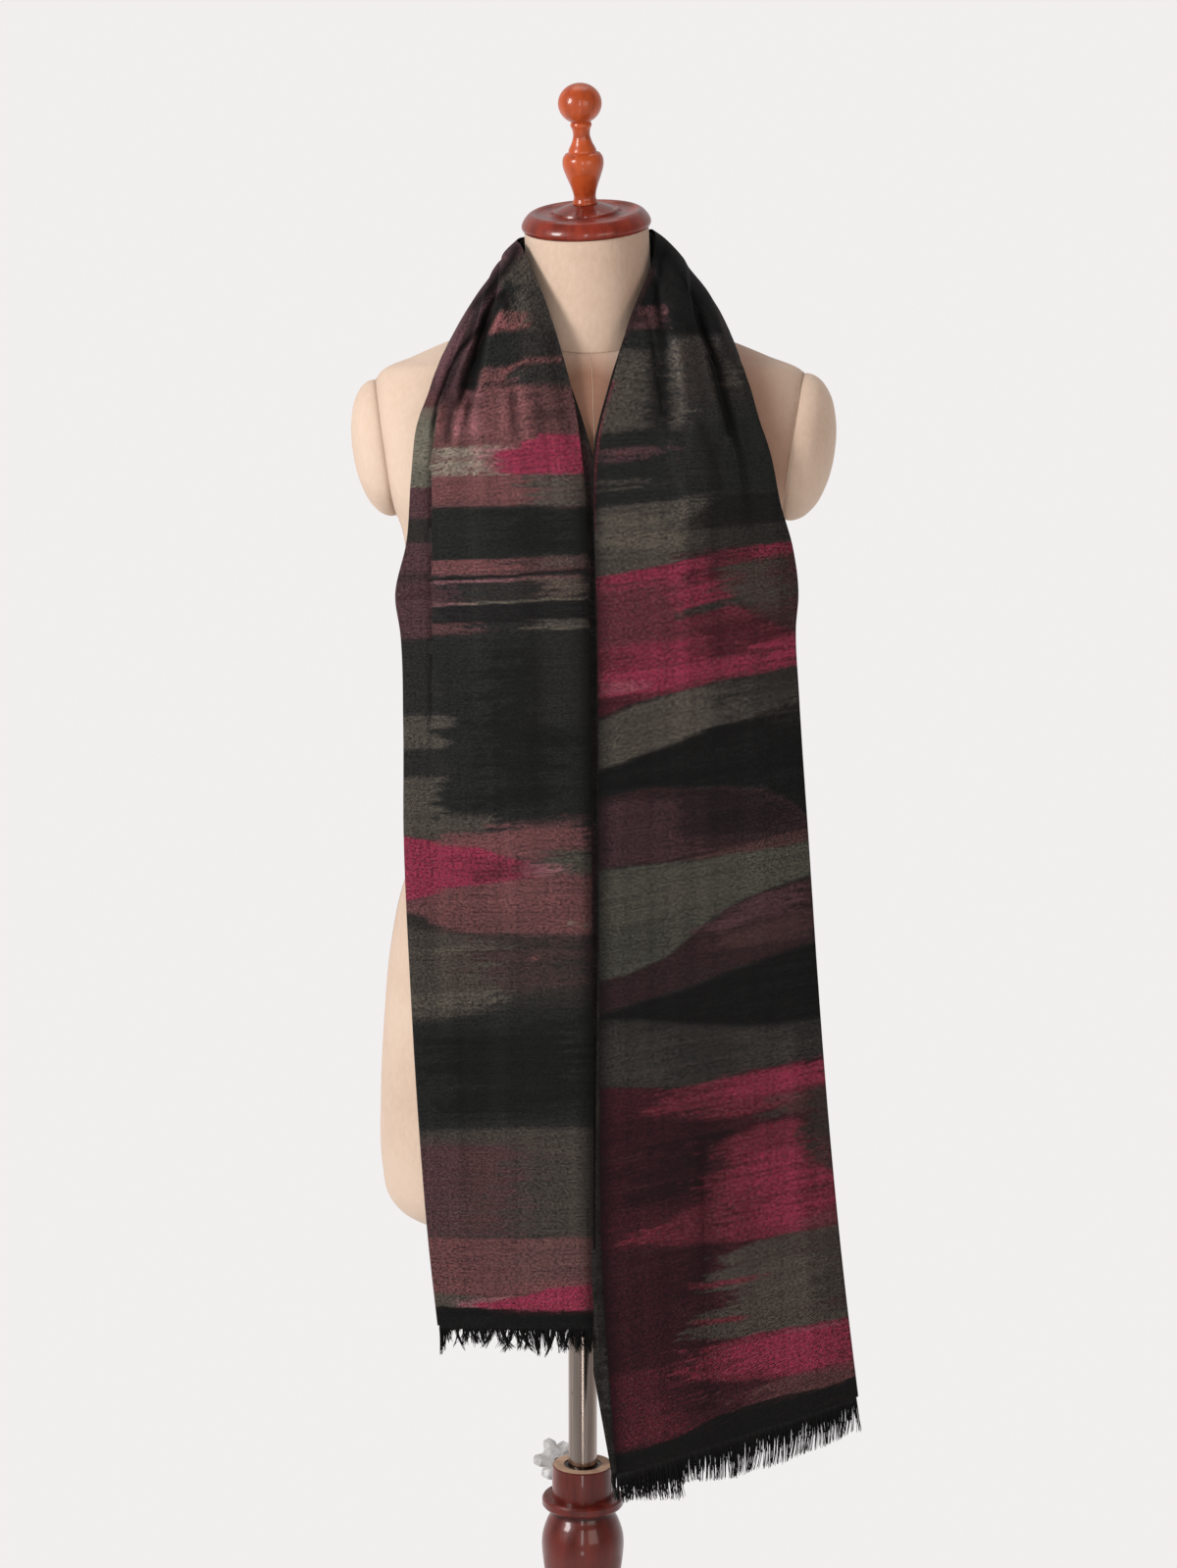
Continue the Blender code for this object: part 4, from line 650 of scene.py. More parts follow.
def smoothed(values, kernel):
    """A row of values, averaged over a kernel, with its ends held."""
    return np.convolve(np.pad(values, len(kernel) // 2, mode="edge"), kernel / kernel.sum(), mode="valid")


def to_linear(colour):
    c = np.asarray(colour, float) / 255
    return np.where(c <= 0.04045, c / 12.92, ((c + 0.055) / 1.055) ** 2.4)


def new_mesh(name, points, faces):
    """A mesh from points in millimetres."""
    mesh = bpy.data.meshes.new(name)
    mesh.from_pydata([tuple(v) for v in np.asarray(points).reshape(-1, 3) * MM], [], faces)
    return mesh


def add_piece(mesh, material, body, slot, replaces=(), sharp=None):
    """An object for a mesh, with the mesh's name, riding on its body."""
    mesh.materials.append(material)
    mesh.shade_smooth()
    if sharp is not None:
        mesh.set_sharp_from_angle(angle=math.radians(sharp))
    obj = bpy.data.objects.new(mesh.name, mesh)
    bpy.context.scene.collection.objects.link(obj)
    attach(obj, body)
    if replaces:
        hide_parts(*replaces)
    return obj


def loft_faces(rows, count):
    """Faces of a closed skin over rows of points, each row a loop, with both ends closed."""
    last = (rows - 1) * count
    sides = [
        (r + i, r + (i + 1) % count, r + count + (i + 1) % count, r + count + i)
        for r in range(0, last, count) for i in range(count)
    ]
    return sides + [tuple(range(count))[::-1], tuple(range(last, last + count))]


def add_loft(name, rings, *piece, **more):
    """A piece from rings of points, closed at both ends."""
    return add_piece(new_mesh(name, rings, loft_faces(len(rings), rings.shape[1])), *piece, **more)


def outward_faces(obj):
    mesh = bmesh.new()
    mesh.from_mesh(obj.data)
    bmesh.ops.recalc_face_normals(mesh, faces=mesh.faces)
    mesh.to_mesh(obj.data)
    mesh.free()


def turned_to(points, origin, direction):
    """Points about +Z, turned to lie along a direction from an origin."""
    turn = np.array(Vector((0, 0, 1)).rotation_difference(direction).to_matrix())
    return np.asarray(points) @ turn.T + np.array(origin)


def add_values(obj, name, values):
    attribute = obj.data.attributes.new(name, "FLOAT", "POINT")
    attribute.data.foreach_set("value", np.asarray(values, np.float32).ravel())


# ================================================================ materials
class Nodes:
    """Short names for the nodes of a material, or of the world."""

    def __init__(self, name, world=False):
        self.owner = (bpy.data.worlds if world else bpy.data.materials).new(name)
        self.owner.use_nodes = True
        self.tree = self.owner.node_tree
        self.shader = self.tree.nodes["Background" if world else "Principled BSDF"]

    def node(self, kind, inputs=None, **settings):
        made = self.tree.nodes.new("ShaderNode" + kind)
        for key, value in settings.items():
            setattr(made, key, value)
        for key, value in (inputs or {}).items():
            self.join(value, made.inputs[key])
        return made

    def join(self, value, socket):
        if isinstance(value, bpy.types.NodeSocket):
            self.tree.links.new(value, socket)
        else:
            socket.default_value = value

    def maths(self, operation, a, b=0.5):
        return self.node("Math", {0: a, 1: b}, operation=operation).outputs[0]

    def times(self, first, *others):
        for other in others:
            first = self.maths("MULTIPLY", first, other)
        return first

    def mix(self, factor, a, b, blend="MIX"):
        a, b = (each if isinstance(each, bpy.types.NodeSocket) else (*each, 1.0) for each in (a, b))
        inputs = {"Factor": factor, 6: a, 7: b}
        return self.node("Mix", inputs, data_type="RGBA", blend_type=blend).outputs[2]

    def ramp(self, factor, stops):
        """Map a factor from the first two stops to the last two."""
        return self.node("MapRange", {0: factor, **dict(enumerate(stops, 1))}).outputs[0]

    def noise(self, where, scale, detail=2.0, stretch=(1, 1, 1), roughness=0.5):
        vector = self.node("Mapping", {"Vector": where, "Scale": stretch}).outputs[0]
        inputs = {"Vector": vector, "Scale": scale, "Detail": detail, "Roughness": roughness}
        return self.node("TexNoise", inputs).outputs[0]

    def bump(self, height, distance, strength=1.0, normal=None):
        inputs = {"Height": height, "Distance": distance, "Strength": strength}
        if normal is not None:
            inputs["Normal"] = normal
        return self.node("Bump", inputs).outputs[0]

    def place(self, output="Object"):
        return self.node("TexCoord").outputs[output]

    def attribute(self, name, output="Fac"):
        return self.node("Attribute", attribute_name=name).outputs[output]

    def set(self, **sockets):
        for key, value in sockets.items():
            self.join(value, self.shader.inputs[key.replace("_", " ")])


def cloth_material():
    """Diamond twill: a black warp over the painted weft, with slubs, stray threads and soft sheen."""
    n = Nodes("shawl_cloth")
    weft = n.attribute("weft", "Color")
    uv = n.node("UVMap", uv_map="cloth").outputs[0]
    parts = n.node("SeparateXYZ", {0: uv}).outputs
    across, along = parts[0], parts[1]
    turn = math.tau / TWILL_REPEAT
    zig = n.maths("PINGPONG", along, DIAMOND_HEIGHT)
    one = n.maths("SINE", n.times(n.maths("ADD", across, zig), turn))
    two = n.maths("SINE", n.times(n.maths("SUBTRACT", across, n.times(zig, 0.5)), turn))
    twill = n.maths("ADD", n.times(one, 0.55), n.times(two, 0.35))
    grain = n.noise(uv, 0.58, 2.0, (0.85, 1.2, 1.0), 0.8)
    weave = n.maths("ADD", twill, n.times(n.maths("SUBTRACT", grain, 0.5), 4.6))
    show = n.ramp(weave, (-0.9, 1.2, 0.02, 1.42))
    threads = n.ramp(n.noise(uv, 0.5, 3.0, (0.030, 1.3, 1.0), 0.7), (0.28, 0.72, 0.58, 1.42))
    warp = n.ramp(n.noise(uv, 0.10, 3.0, (1.0, 0.02, 1.0), 0.6), (0.30, 0.70, 0.80, 1.20))
    slub = n.ramp(n.noise(uv, 0.40, 1.0, (0.85, 1.25, 1.0), 0.6), (0.32, 0.68, 0.52, 1.48))
    level = n.times(show, threads, warp, slub)
    # Pale threads glint among the coloured weft, and not where it is black.
    bright = n.node("SeparateColor", {0: weft}).outputs
    value = n.ramp(n.maths("ADD", bright[0], bright[1]), (0.03, 0.16, 0.0, 0.34))
    glint = n.times(n.ramp(n.noise(uv, 0.62, 1.0, (0.8, 1.3, 1.0)), (0.50, 0.66, 0.0, 1.0)), value)
    colour = n.mix(level, (0.0036, 0.0036, 0.0038), n.mix(glint, weft, (0.165, 0.155, 0.130)))
    n.set(Base_Color=colour, Roughness=n.ramp(weave, (-1.0, 1.0, 0.62, 0.78)))
    n.set(Sheen_Weight=0.02, Sheen_Roughness=0.4, Specular_IOR_Level=0.07)
    n.shader.inputs["Sheen Tint"].default_value = (0.80, 0.74, 0.74, 1.0)
    fine = n.bump(weave, 0.00018, 0.7)
    n.set(Normal=n.bump(n.noise(uv, 0.09, 2.0, (1.0, 0.25, 1.0)), 0.0009, 0.40, fine))
    return n.owner


def thread_material():
    n = Nodes("fringe_wool")
    fuzz = n.noise(n.place(), 900.0, 2.0)
    n.set(Base_Color=n.mix(fuzz, (0.0022, 0.0022, 0.0024), (0.0075, 0.007, 0.007)))
    n.set(Roughness=n.ramp(fuzz, (0.3, 0.7, 0.55, 0.78)), Sheen_Weight=0.02, Specular_IOR_Level=0.10)
    n.set(Normal=n.bump(fuzz, 0.0002, 0.5))
    return n.owner


def cover_material():
    """A brushed cover: mottled nap, faint wear on its ridges, and soft shade along its seams."""
    n = Nodes("form_cover")
    where = n.place()
    cloud = n.noise(where, 9.0, 4.0)
    nap = n.noise(where, 260.0, 4.0, (1.0, 1.0, 0.55), 0.65)
    seam = n.attribute("seam")
    colour = n.mix(n.ramp(cloud, (0.35, 0.65, 0.0, 1.0)), (0.585, 0.425, 0.320), (0.680, 0.520, 0.405))
    colour = n.mix(n.ramp(nap, (0.30, 0.70, 0.0, 0.30)), colour, (0.80, 0.66, 0.55))
    colour = n.mix(n.times(seam, 0.22), colour, (0.36, 0.22, 0.145))
    colour = n.mix(n.attribute("shade"), colour, (0.44, 0.30, 0.26), "MULTIPLY")
    n.set(Base_Color=colour, Roughness=n.ramp(nap, (0.3, 0.7, 0.82, 0.95)))
    n.set(Sheen_Weight=0.22, Sheen_Roughness=0.5, Specular_IOR_Level=0.2)
    n.shader.inputs["Sheen Tint"].default_value = (1.0, 0.93, 0.86, 1.0)
    low = n.bump(n.noise(where, 26.0, 3.0), 0.0016, 0.25)
    n.set(Normal=n.bump(nap, 0.0004, 0.5, low))
    return n.owner


def stitch_material():
    n = Nodes("seam_thread")
    run = n.attribute("run")
    stitch = n.maths("SINE", n.times(run, math.tau / STITCH_LENGTH))
    colour = n.mix(n.ramp(stitch, (-0.6, 0.6, 0.0, 1.0)), (0.38, 0.26, 0.185), (0.52, 0.385, 0.290))
    n.set(Base_Color=colour, Roughness=0.85)
    n.set(Normal=n.bump(stitch, 0.0003, 0.8))
    return n.owner


def wood_material(name, dark, light, grain_scale, gloss):
    """Varnished turned wood: grain along the axis, deeper colour in the grooves."""
    n = Nodes(name)
    where = n.place()
    bend = n.noise(where, 14.0, 3.0)
    lines = n.noise(where, grain_scale, 5.0, (1.0, 1.0, 0.09), 0.62)
    pores = n.noise(where, grain_scale * 5.0, 2.0, (1.0, 1.0, 0.05), 0.7)
    groove = n.attribute("groove")
    grain = n.maths("ADD", lines, n.times(bend, 0.35))
    colour = n.mix(n.ramp(grain, (0.48, 0.84, 0.0, 1.0)), dark, light)
    colour = n.mix(n.ramp(pores, (0.58, 0.72, 0.0, 0.42)), colour, tuple(0.35 * c for c in dark))
    colour = n.mix(n.times(groove, 0.72), colour, tuple(0.30 * c for c in dark))
    n.set(Base_Color=colour, Roughness=n.ramp(lines, (0.3, 0.7, 0.30, 0.44)))
    n.set(Coat_Weight=0.42, Coat_Roughness=gloss, Specular_IOR_Level=0.30)
    wave = n.bump(n.noise(where, 55.0, 2.0, (1.0, 1.0, 0.6)), 0.0006, 0.22)
    n.set(Normal=n.bump(pores, 0.00008, 0.4, wave))
    n.join(wave, n.shader.inputs["Coat Normal"])
    return n.owner


def bare_wood_material():
    n = Nodes("bare_wood")
    where = n.place()
    lines = n.noise(where, 95.0, 4.0, (0.22, 1.0, 1.0), 0.6)
    stain = n.noise(where, 60.0, 3.0)
    colour = n.mix(n.ramp(lines, (0.35, 0.65, 0.0, 1.0)), (0.40, 0.235, 0.150), (0.60, 0.41, 0.285))
    colour = n.mix(n.ramp(stain, (0.50, 0.72, 0.0, 0.6)), colour, (0.155, 0.075, 0.045))
    n.set(Base_Color=colour, Roughness=0.72, Normal=n.bump(lines, 0.0003, 0.6))
    return n.owner


def steel_material(name, dark, light, roughness, streaks):
    """Drawn steel: faint lines along it, small specks and rubbed patches."""
    n = Nodes(name)
    where = n.place()
    lines = n.noise(where, streaks, 3.0, (1.0, 1.0, 0.012), 0.6)
    rubbed = n.noise(where, 30.0, 4.0, (1.0, 1.0, 0.5))
    speck = n.noise(where, 420.0, 1.0, (1.0, 1.0, 0.45))
    colour = n.mix(n.ramp(lines, (0.34, 0.66, 0.0, 1.0)), dark, light)
    colour = n.mix(n.ramp(speck, (0.735, 0.775, 0.0, 0.85)), colour, (0.045, 0.03, 0.025))
    rough = n.maths("ADD", n.ramp(rubbed, (0.3, 0.7, 0.0, 0.12)), n.ramp(speck, (0.72, 0.78, roughness, 0.7)))
    n.set(Base_Color=colour, Metallic=1.0, Roughness=rough, Anisotropic=0.0)
    n.set(Normal=n.bump(lines, 0.00004, 0.5))
    return n.owner


def knob_material():
    n = Nodes("knob_plastic")
    where = n.place()
    frost = n.noise(where, 240.0, 3.0)
    cloud = n.noise(where, 60.0, 3.0)
    n.set(Base_Color=n.mix(n.ramp(cloud, (0.3, 0.7, 0.0, 1.0)), (0.80, 0.80, 0.79), (0.94, 0.94, 0.93)))
    n.set(Transmission_Weight=0.55, IOR=1.46, Roughness=n.ramp(frost, (0.3, 0.7, 0.22, 0.42)))
    n.set(Normal=n.bump(frost, 0.00012, 0.5))
    return n.owner


def floor_material():
    n = Nodes("studio_paper")
    paper = n.noise(n.place(), 60.0, 3.0)
    n.set(Base_Color=n.mix(paper, *FLOOR_COLOURS), Roughness=0.95)
    n.set(Specular_IOR_Level=0.1)
    return n.owner


# ================================================================ studio
def make_studio():
    scene = bpy.context.scene
    camera = bpy.data.objects.new("camera", bpy.data.cameras.new("camera"))
    camera.location = CAMERA_PLACE
    camera.rotation_euler = (math.pi / 2 - CAMERA_DOWN, 0.0, 0.0)
    camera.data.lens, camera.data.sensor_fit = LENS, "VERTICAL"
    camera.data.sensor_height, camera.data.clip_end = SENSOR, 60.0
    scene.collection.objects.link(camera)
    scene.camera = camera
    scene.view_settings.view_transform, scene.view_settings.look = "Standard", "None"

    # A pale room: brighter behind and below than in front, and one plain colour behind it all.
    n = Nodes("studio", world=True)
    way = n.node("SeparateXYZ", {0: n.place("Generated")}).outputs
    low = n.ramp(way[2], (0.15, -0.35, 0.0, 0.42))
    behind = n.ramp(way[1], (-0.10, 0.60, 0.0, 0.46))
    glow = n.maths("ADD", behind, n.maths("ADD", low, 0.16))
    seen = n.node("LightPath").outputs["Is Camera Ray"]
    n.set(Color=PAPER_TINT, Strength=n.node("Mix", {0: seen, 2: glow, 3: PAPER_LIGHT}).outputs[0])
    scene.world = n.owner

    for name, place, aim, width, height, power, colour in LIGHTS:
        light = bpy.data.objects.new(name, bpy.data.lights.new(name, "AREA"))
        light.data.shape, light.data.size, light.data.size_y = "RECTANGLE", width, height
        light.data.energy, light.data.color = power, colour
        light.location = place
        light.rotation_euler = (Vector(aim) - Vector(place)).to_track_quat("-Z", "Y").to_euler()
        light.visible_camera = False
        scene.collection.objects.link(light)

    # A round sheet of studio paper under the stand.
    cosine, sine = circle(96)
    rim = np.stack([FLOOR_RADIUS * cosine, FLOOR_RADIUS * sine, np.full(96, -0.5)], axis=1)
    mesh = new_mesh("floor", rim, [tuple(range(96))])
    mesh.materials.append(floor_material())
    floor = bpy.data.objects.new("floor", mesh)
    scene.collection.objects.link(floor)


# ================================================================ turned parts
def smooth_profile(profile, closed, most):
    """Round a profile between its corners, with steps of a length at most."""
    points = np.asarray(profile, float)
    count = len(points)
    cosine = math.cos(math.radians(CORNER))

    def sharp(i):
        if not closed and i in (0, count - 1):
            return True
        before, after = unit(points[i] - points[i - 1]), unit(points[(i + 1) % count] - points[i])
        return float(before @ after) < cosine

    made = []
    for i in range(count if closed else count - 1):
        a, b = points[i], points[(i + 1) % count]
        step = np.linalg.norm(b - a)
        corners = sharp(i), sharp((i + 1) % count)
        start = (b - a) if corners[0] else unit(b - points[i - 1]) * step
        end = (b - a) if corners[1] else unit(points[(i + 2) % count] - a) * step
        parts = 1 if all(corners) else max(2, math.ceil(step / most))
        made += [cubic(s, a, b, start, end) for s in np.arange(parts) / parts]
    return np.array(made if closed else made + [points[-1]])


def turned(
    name, profile, steps, material, body, slot, replaces=(), closed=False, place=None, most=1.4, sharp=30.0
):
    """A turned piece from a profile of radius and height, darker in its grooves."""
    path = smooth_profile(profile, closed, most)
    radius, run = np.maximum(path[:, 0], 0.0), run_of(path)
    groove = np.zeros(len(path))
    for reach in (4.0, 9.0):
        beside = np.minimum(np.interp(run + reach, run, radius), np.interp(run - reach, run, radius))
        groove = np.maximum(groove, np.clip((beside - radius) / 4.0, 0, 1))
    cosine, sine = circle(steps)
    points, values, rows = [], [], []
    for r, z, g in zip(radius, path[:, 1], groove):
        wide = steps if r > 1e-6 else 1
        rows.append([len(points) + i % wide for i in range(steps)])
        points += [(r * cosine[i], r * sine[i], z) for i in range(wide)]
        values += [g] * wide
    if closed:
        rows.append(rows[0])
    faces = []
    for low, high in zip(rows, rows[1:]):
        for i in range(steps):
            k = (i + 1) % steps
            face = tuple(dict.fromkeys((low[i], low[k], high[k], high[i])))
            if len(face) > 2:
                faces.append(face)
    if place is not None:
        points = turned_to(points, *place)
    obj = add_piece(new_mesh(name, points, faces), material, body, slot, replaces, sharp)
    add_values(obj, "groove", values)


def make_hard_parts():
    red_wood = wood_material("red_brown_wood", (0.105, 0.012, 0.006), (0.270, 0.029, 0.012), 62.0, 0.09)
    deep_wood = wood_material("deep_red_wood", (0.058, 0.007, 0.005), (0.150, 0.017, 0.010), 62.0, 0.10)
    orange_wood = wood_material("orange_brown_wood", (0.300, 0.040, 0.009), (0.560, 0.098, 0.020), 55.0, 0.07)
    steel = steel_material("pole_steel", (0.19, 0.140, 0.118), (0.41, 0.35, 0.31), 0.13, 230.0)
    dark_steel = steel_material("dark_steel", (0.035, 0.028, 0.025), (0.16, 0.13, 0.11), 0.38, 300.0)

    turned("dress_stand_base", BASE_PROFILE, 160, deep_wood, "stand", "wood", ["stand_base"], most=2.5)
    column = COLUMN_PROFILE + BORE_PROFILE
    turned("dress_stand_column", column, 128, deep_wood, "stand", "wood", ["stand_column"])
    # The collar's top was left bare: a thin ring of raw wood, worn where the pole goes in.
    top = COLUMN_TOP
    ring = ((BUSH_RADIUS + 0.1, top + 0.05), (25.3, top + 0.05), (25.5, top + 0.16), (24.6, top + 0.35),
            (BUSH_RADIUS + 0.9, top + 0.25))
    turned("collar_top", ring, 96, bare_wood_material(), "stand", "wood", closed=True)
    low, wide = top - BUSH_DEPTH + GAP, BUSH_RADIUS - GAP
    ring = ((BORE_RADIUS, low), (wide, low), (wide, top - 0.6), (BORE_RADIUS + 0.5, top - 0.4),
            (BORE_RADIUS, top - 1.0))
    turned("pole_bush_ring", ring, 96, dark_steel, "stand", "dark_steel", ["pole_bush"], closed=True)
    rod = ((0, POLE_BOTTOM), (POLE_RADIUS - 1, POLE_BOTTOM), (POLE_RADIUS, POLE_BOTTOM + 1),
           (POLE_RADIUS, POLE_TOP - 1), (POLE_RADIUS - 1, POLE_TOP), (0, POLE_TOP))
    turned("steel_pole", rod, 96, steel, "pole", "pole_steel", ["pole"], most=400.0)

    clamp = ((0, 0, CLAMP_HEIGHT), CLAMP_DIRECTION)
    low, wide = COLLAR_RADIUS + GAP, SCREW_RADIUS + GAP
    ring = ((wide, low), (NUT_RADIUS, low), (NUT_RADIUS, low + NUT_THICKNESS - 0.6),
            (NUT_RADIUS - 0.6, low + NUT_THICKNESS), (wide, low + NUT_THICKNESS))
    turned(
        "clamp_nut_ring", ring, 48, dark_steel, "stand", "dark_steel", ["clamp_nut"], closed=True, place=clamp
    )
    low, high = BORE_RADIUS + 0.2, KNOB_START - GAP
    thread = [(0.0, low), (SCREW_RADIUS - 0.4, low)]
    at = low + 0.7
    while at < high - 1.2:
        thread += [(SCREW_RADIUS - 0.35, at), (SCREW_RADIUS, at + 0.35)]
        at += 0.7
    thread += [(SCREW_RADIUS - 0.4, high), (0.0, high)]
    turned(
        "clamp_screw_thread", thread, 32, dark_steel, "knob", "dark_steel", ["clamp_screw"],
        place=clamp, most=9.0,
    )
    make_knob(*clamp)

    lean = Vector((-CAP_LEAN_SIDE, -CAP_LEAN_FRONT, 1.0)).normalized()
    seat = (CAP_CENTRE, lean)
    turned("neck_cap_wood", CAP_PROFILE, 144, red_wood, "form", "wood", ["neck_cap"], place=seat, most=1.0)
    ball_height = BALL_RADIUS * BALL_FLATTENED
    ball = [
        (BALL_RADIUS * math.cos(a), BALL_CENTRE + ball_height * math.sin(a))
        for a in np.radians(np.linspace(-64, 88, 20))
    ]
    profile = (*FINIAL_PROFILE, *ball, (0.0, BALL_CENTRE + ball_height))
    seat = (CAP_CENTRE + lean * (CAP_BOSS_HEIGHT + GAP), lean)
    turned(
        "finial_wood", profile, 96, orange_wood, "form", "wood", ["finial"], place=seat, most=0.9, sharp=38.0
    )


def make_knob(origin, direction):
    """A star knob with round lobes, rounded rims and a hub where the screw goes in."""
    angles = np.radians((0, 22, 45, 68, 90))
    rim = [(2.2 * (1 - math.sin(a)), 2.2 * (1 - math.cos(a))) for a in angles]
    top = [(inset, KNOB_THICKNESS - low) for inset, low in rim[::-1]]
    cosine, sine = circle(24 * KNOB_LOBES)
    around = np.cos(KNOB_LOBES * np.linspace(0, math.tau, len(sine), endpoint=False))
    lobe = 0.5 + 0.5 * np.tanh(2.2 * around) / math.tanh(2.2)
    rings = []
    for inset, height in [(9.0, 0.0), *rim, *top, (8.0, KNOB_THICKNESS - 0.4)]:
        radius = np.maximum(KNOB_ROOT + (KNOB_TIP - KNOB_ROOT) * lobe - inset, 2.0)
        rings.append(np.stack([radius * cosine, radius * sine, 0 * sine + KNOB_START + height], axis=1))
    rings = turned_to(rings, origin, direction)
    add_loft("star_knob", rings, knob_material(), "knob", "knob_plastic", ["clamp_knob"], sharp=40)



# ================================================================ the form
def ring_points(ring, count):
    height, rise, half_width, front, back, square, middle = ring
    across, deep = (np.sign(c) * np.abs(c) ** (2 / square) for c in circle(count))
    y = deep * np.where(deep > 0, back, front)
    return np.stack([middle + half_width * across, y, height + rise * y], axis=1)


def fine_rings(table, count, step, inset):
    """Rings between the table's rings, each point on a smooth curve up the form."""
    rings = np.array([spaced(ring_points(row, count * 4), count, closed=True) for row in table])
    flat = rings - rings.mean(axis=1, keepdims=True)
    rings[..., :2] -= flat[..., :2] * inset / np.linalg.norm(flat[..., :2], axis=-1, keepdims=True)
    steps = np.linalg.norm(np.diff(rings, axis=0), axis=2).max(axis=1)
    knots = np.concatenate([[0.0], np.cumsum(steps)])
    at = np.linspace(0, knots[-1], int(knots[-1] / step))
    return curve_at(knots, rings.reshape(len(rings), -1), at).reshape(len(at), count, 3)


def tube(path, radius, sides):
    """Points and faces of a thin tube along a path, with closed ends."""
    path = np.asarray(path, float)
    ahead = unit(np.gradient(path, axis=0))
    side = unit(np.cross(ahead, np.array((0.31, 0.77, 0.55))))
    up = np.cross(ahead, side)
    radius = np.broadcast_to(np.asarray(radius, float), (len(path),))[:, None, None]
    cosine, sine = (each[None, :, None] for each in circle(sides))
    rings = path[:, None] + radius * (side[:, None] * cosine + up[:, None] * sine)
    return rings.reshape(-1, 3), loft_faces(len(path), sides)


def joined(parts):
    """The points and faces of several parts as one."""
    points, faces = [], []
    for more, loops in parts:
        faces += [tuple(len(points) + i for i in loop) for loop in loops]
        points += list(more)
    return points, faces


def cut_armhole(mesh, row):
    """Cut the torso at an armhole's plane, and give the cut's points and the plane's normal."""
    _, top_x, top_z, foot_x, foot_z, toe, far_x = row
    down = Vector((foot_x - top_x, 0.0, foot_z - top_z))
    normal = down.cross(Vector((toe, 1.0, 0.0))).normalized()
    if normal.x * far_x < 0:
        normal.negate()
    faces = [face for face in mesh.faces if face.calc_center_median().z > ARMPIT_BELOW * MM]
    cut = bmesh.ops.bisect_plane(
        mesh, geom=list({item for face in faces for item in (*face.verts, *face.edges)}) + faces,
        dist=1e-7, plane_co=Vector((top_x, -35.0, top_z)) * MM, plane_no=normal, clear_outer=True,
    )
    rim = [item for item in cut["geom_cut"] if isinstance(item, bmesh.types.BMEdge)]
    plate = bmesh.ops.edgeloop_fill(mesh, edges=rim)["faces"][0]
    return np.array([vertex.co / MM for vertex in plate.verts]), np.array(normal)


def make_cap(row, rim, normal, cover):
    """A padded cap on an armhole, and the line of its seam."""
    peak = rim.mean(axis=0) + np.array((0, 0, CAP_PEAK))
    bulge = (row[6] - peak[0]) / normal[0]
    swell = curve_at(np.arange(len(CAP_SWELL)), CAP_SWELL, np.linspace(0, len(CAP_SWELL) - 1, CAP_RINGS))
    swell[-1] = (1.0, 0.05)
    swell[:, 0] = np.minimum(swell[:, 0], 1.0)
    loop = spaced(rim, CAP_COUNT, closed=True)
    for _ in range(3):
        loop = loop * 0.5 + (np.roll(loop, 1, axis=0) + np.roll(loop, -1, axis=0)) * 0.25
    # The cover turns in a little at the seam, as a sewn edge does.
    swell[:, 1] *= 1 - 0.018 * bell(swell[:, 0] / 0.05)
    rings = np.array([
        peak + normal * (GAP + (bulge - GAP) * share) + (loop - peak) * size for share, size in swell
    ])
    side = row[0].rsplit("_", 1)[-1]
    obj = add_loft(f"form_armhole_{side}", rings, cover, "form", "form_cover", [row[0]], sharp=60)
    add_values(obj, "seam", np.repeat(bell(swell[:, 0] * bulge / 3.2), CAP_COUNT))
    outward_faces(obj)
    return loop + normal * (GAP * 0.5)


def make_torso(cover):
    """The torso with its capped armholes, its rings and the armholes' seams."""
    cosine, sine = circle(TORSO_COUNT)
    hole = BORE_RADIUS + 1
    bore = [
        np.stack([cosine * radius, sine * radius, np.full(TORSO_COUNT, height)], axis=1)
        for radius, height in ((hole, POLE_TOP + GAP), (hole, 658.6), (hole * 1.5, 658.2))
    ]
    body = fine_rings(TORSO_RINGS, TORSO_COUNT, 4.5, FORM_INSET)
    rings = np.concatenate([bore, body])
    mesh = new_mesh("form_body", rings, loft_faces(len(rings), TORSO_COUNT))
    cutting = bmesh.new()
    cutting.from_mesh(mesh)
    seams = []
    for row in ARMHOLES:
        loop = make_cap(row, *cut_armhole(cutting, row), cover)
        seams.append(np.concatenate([loop, loop[:1]]))
    bmesh.ops.recalc_face_normals(cutting, faces=cutting.faces)
    cutting.to_mesh(mesh)
    cutting.free()
    return add_piece(mesh, cover, "form", "form_cover", ["form_torso"], sharp=60), body, seams


def torso_seams(body):
    """Lines up the torso: both sides, and its own middle in front and behind."""
    lines = []
    middle = body[..., 0].mean(axis=1)
    for column in (0, TORSO_COUNT // 2):
        line = body[:, column]
        lines.append(line[line[:, 2] < 1258.0])
    for back in (True, False):
        off = np.abs(body[..., 0] - middle[:, None]) + np.where((body[..., 1] > 0) == back, 0, 1e6)
        line = body[np.arange(len(body)), off.argmin(axis=1)].copy()
        line[:, 0] = middle
        lines.append(line)
    return lines


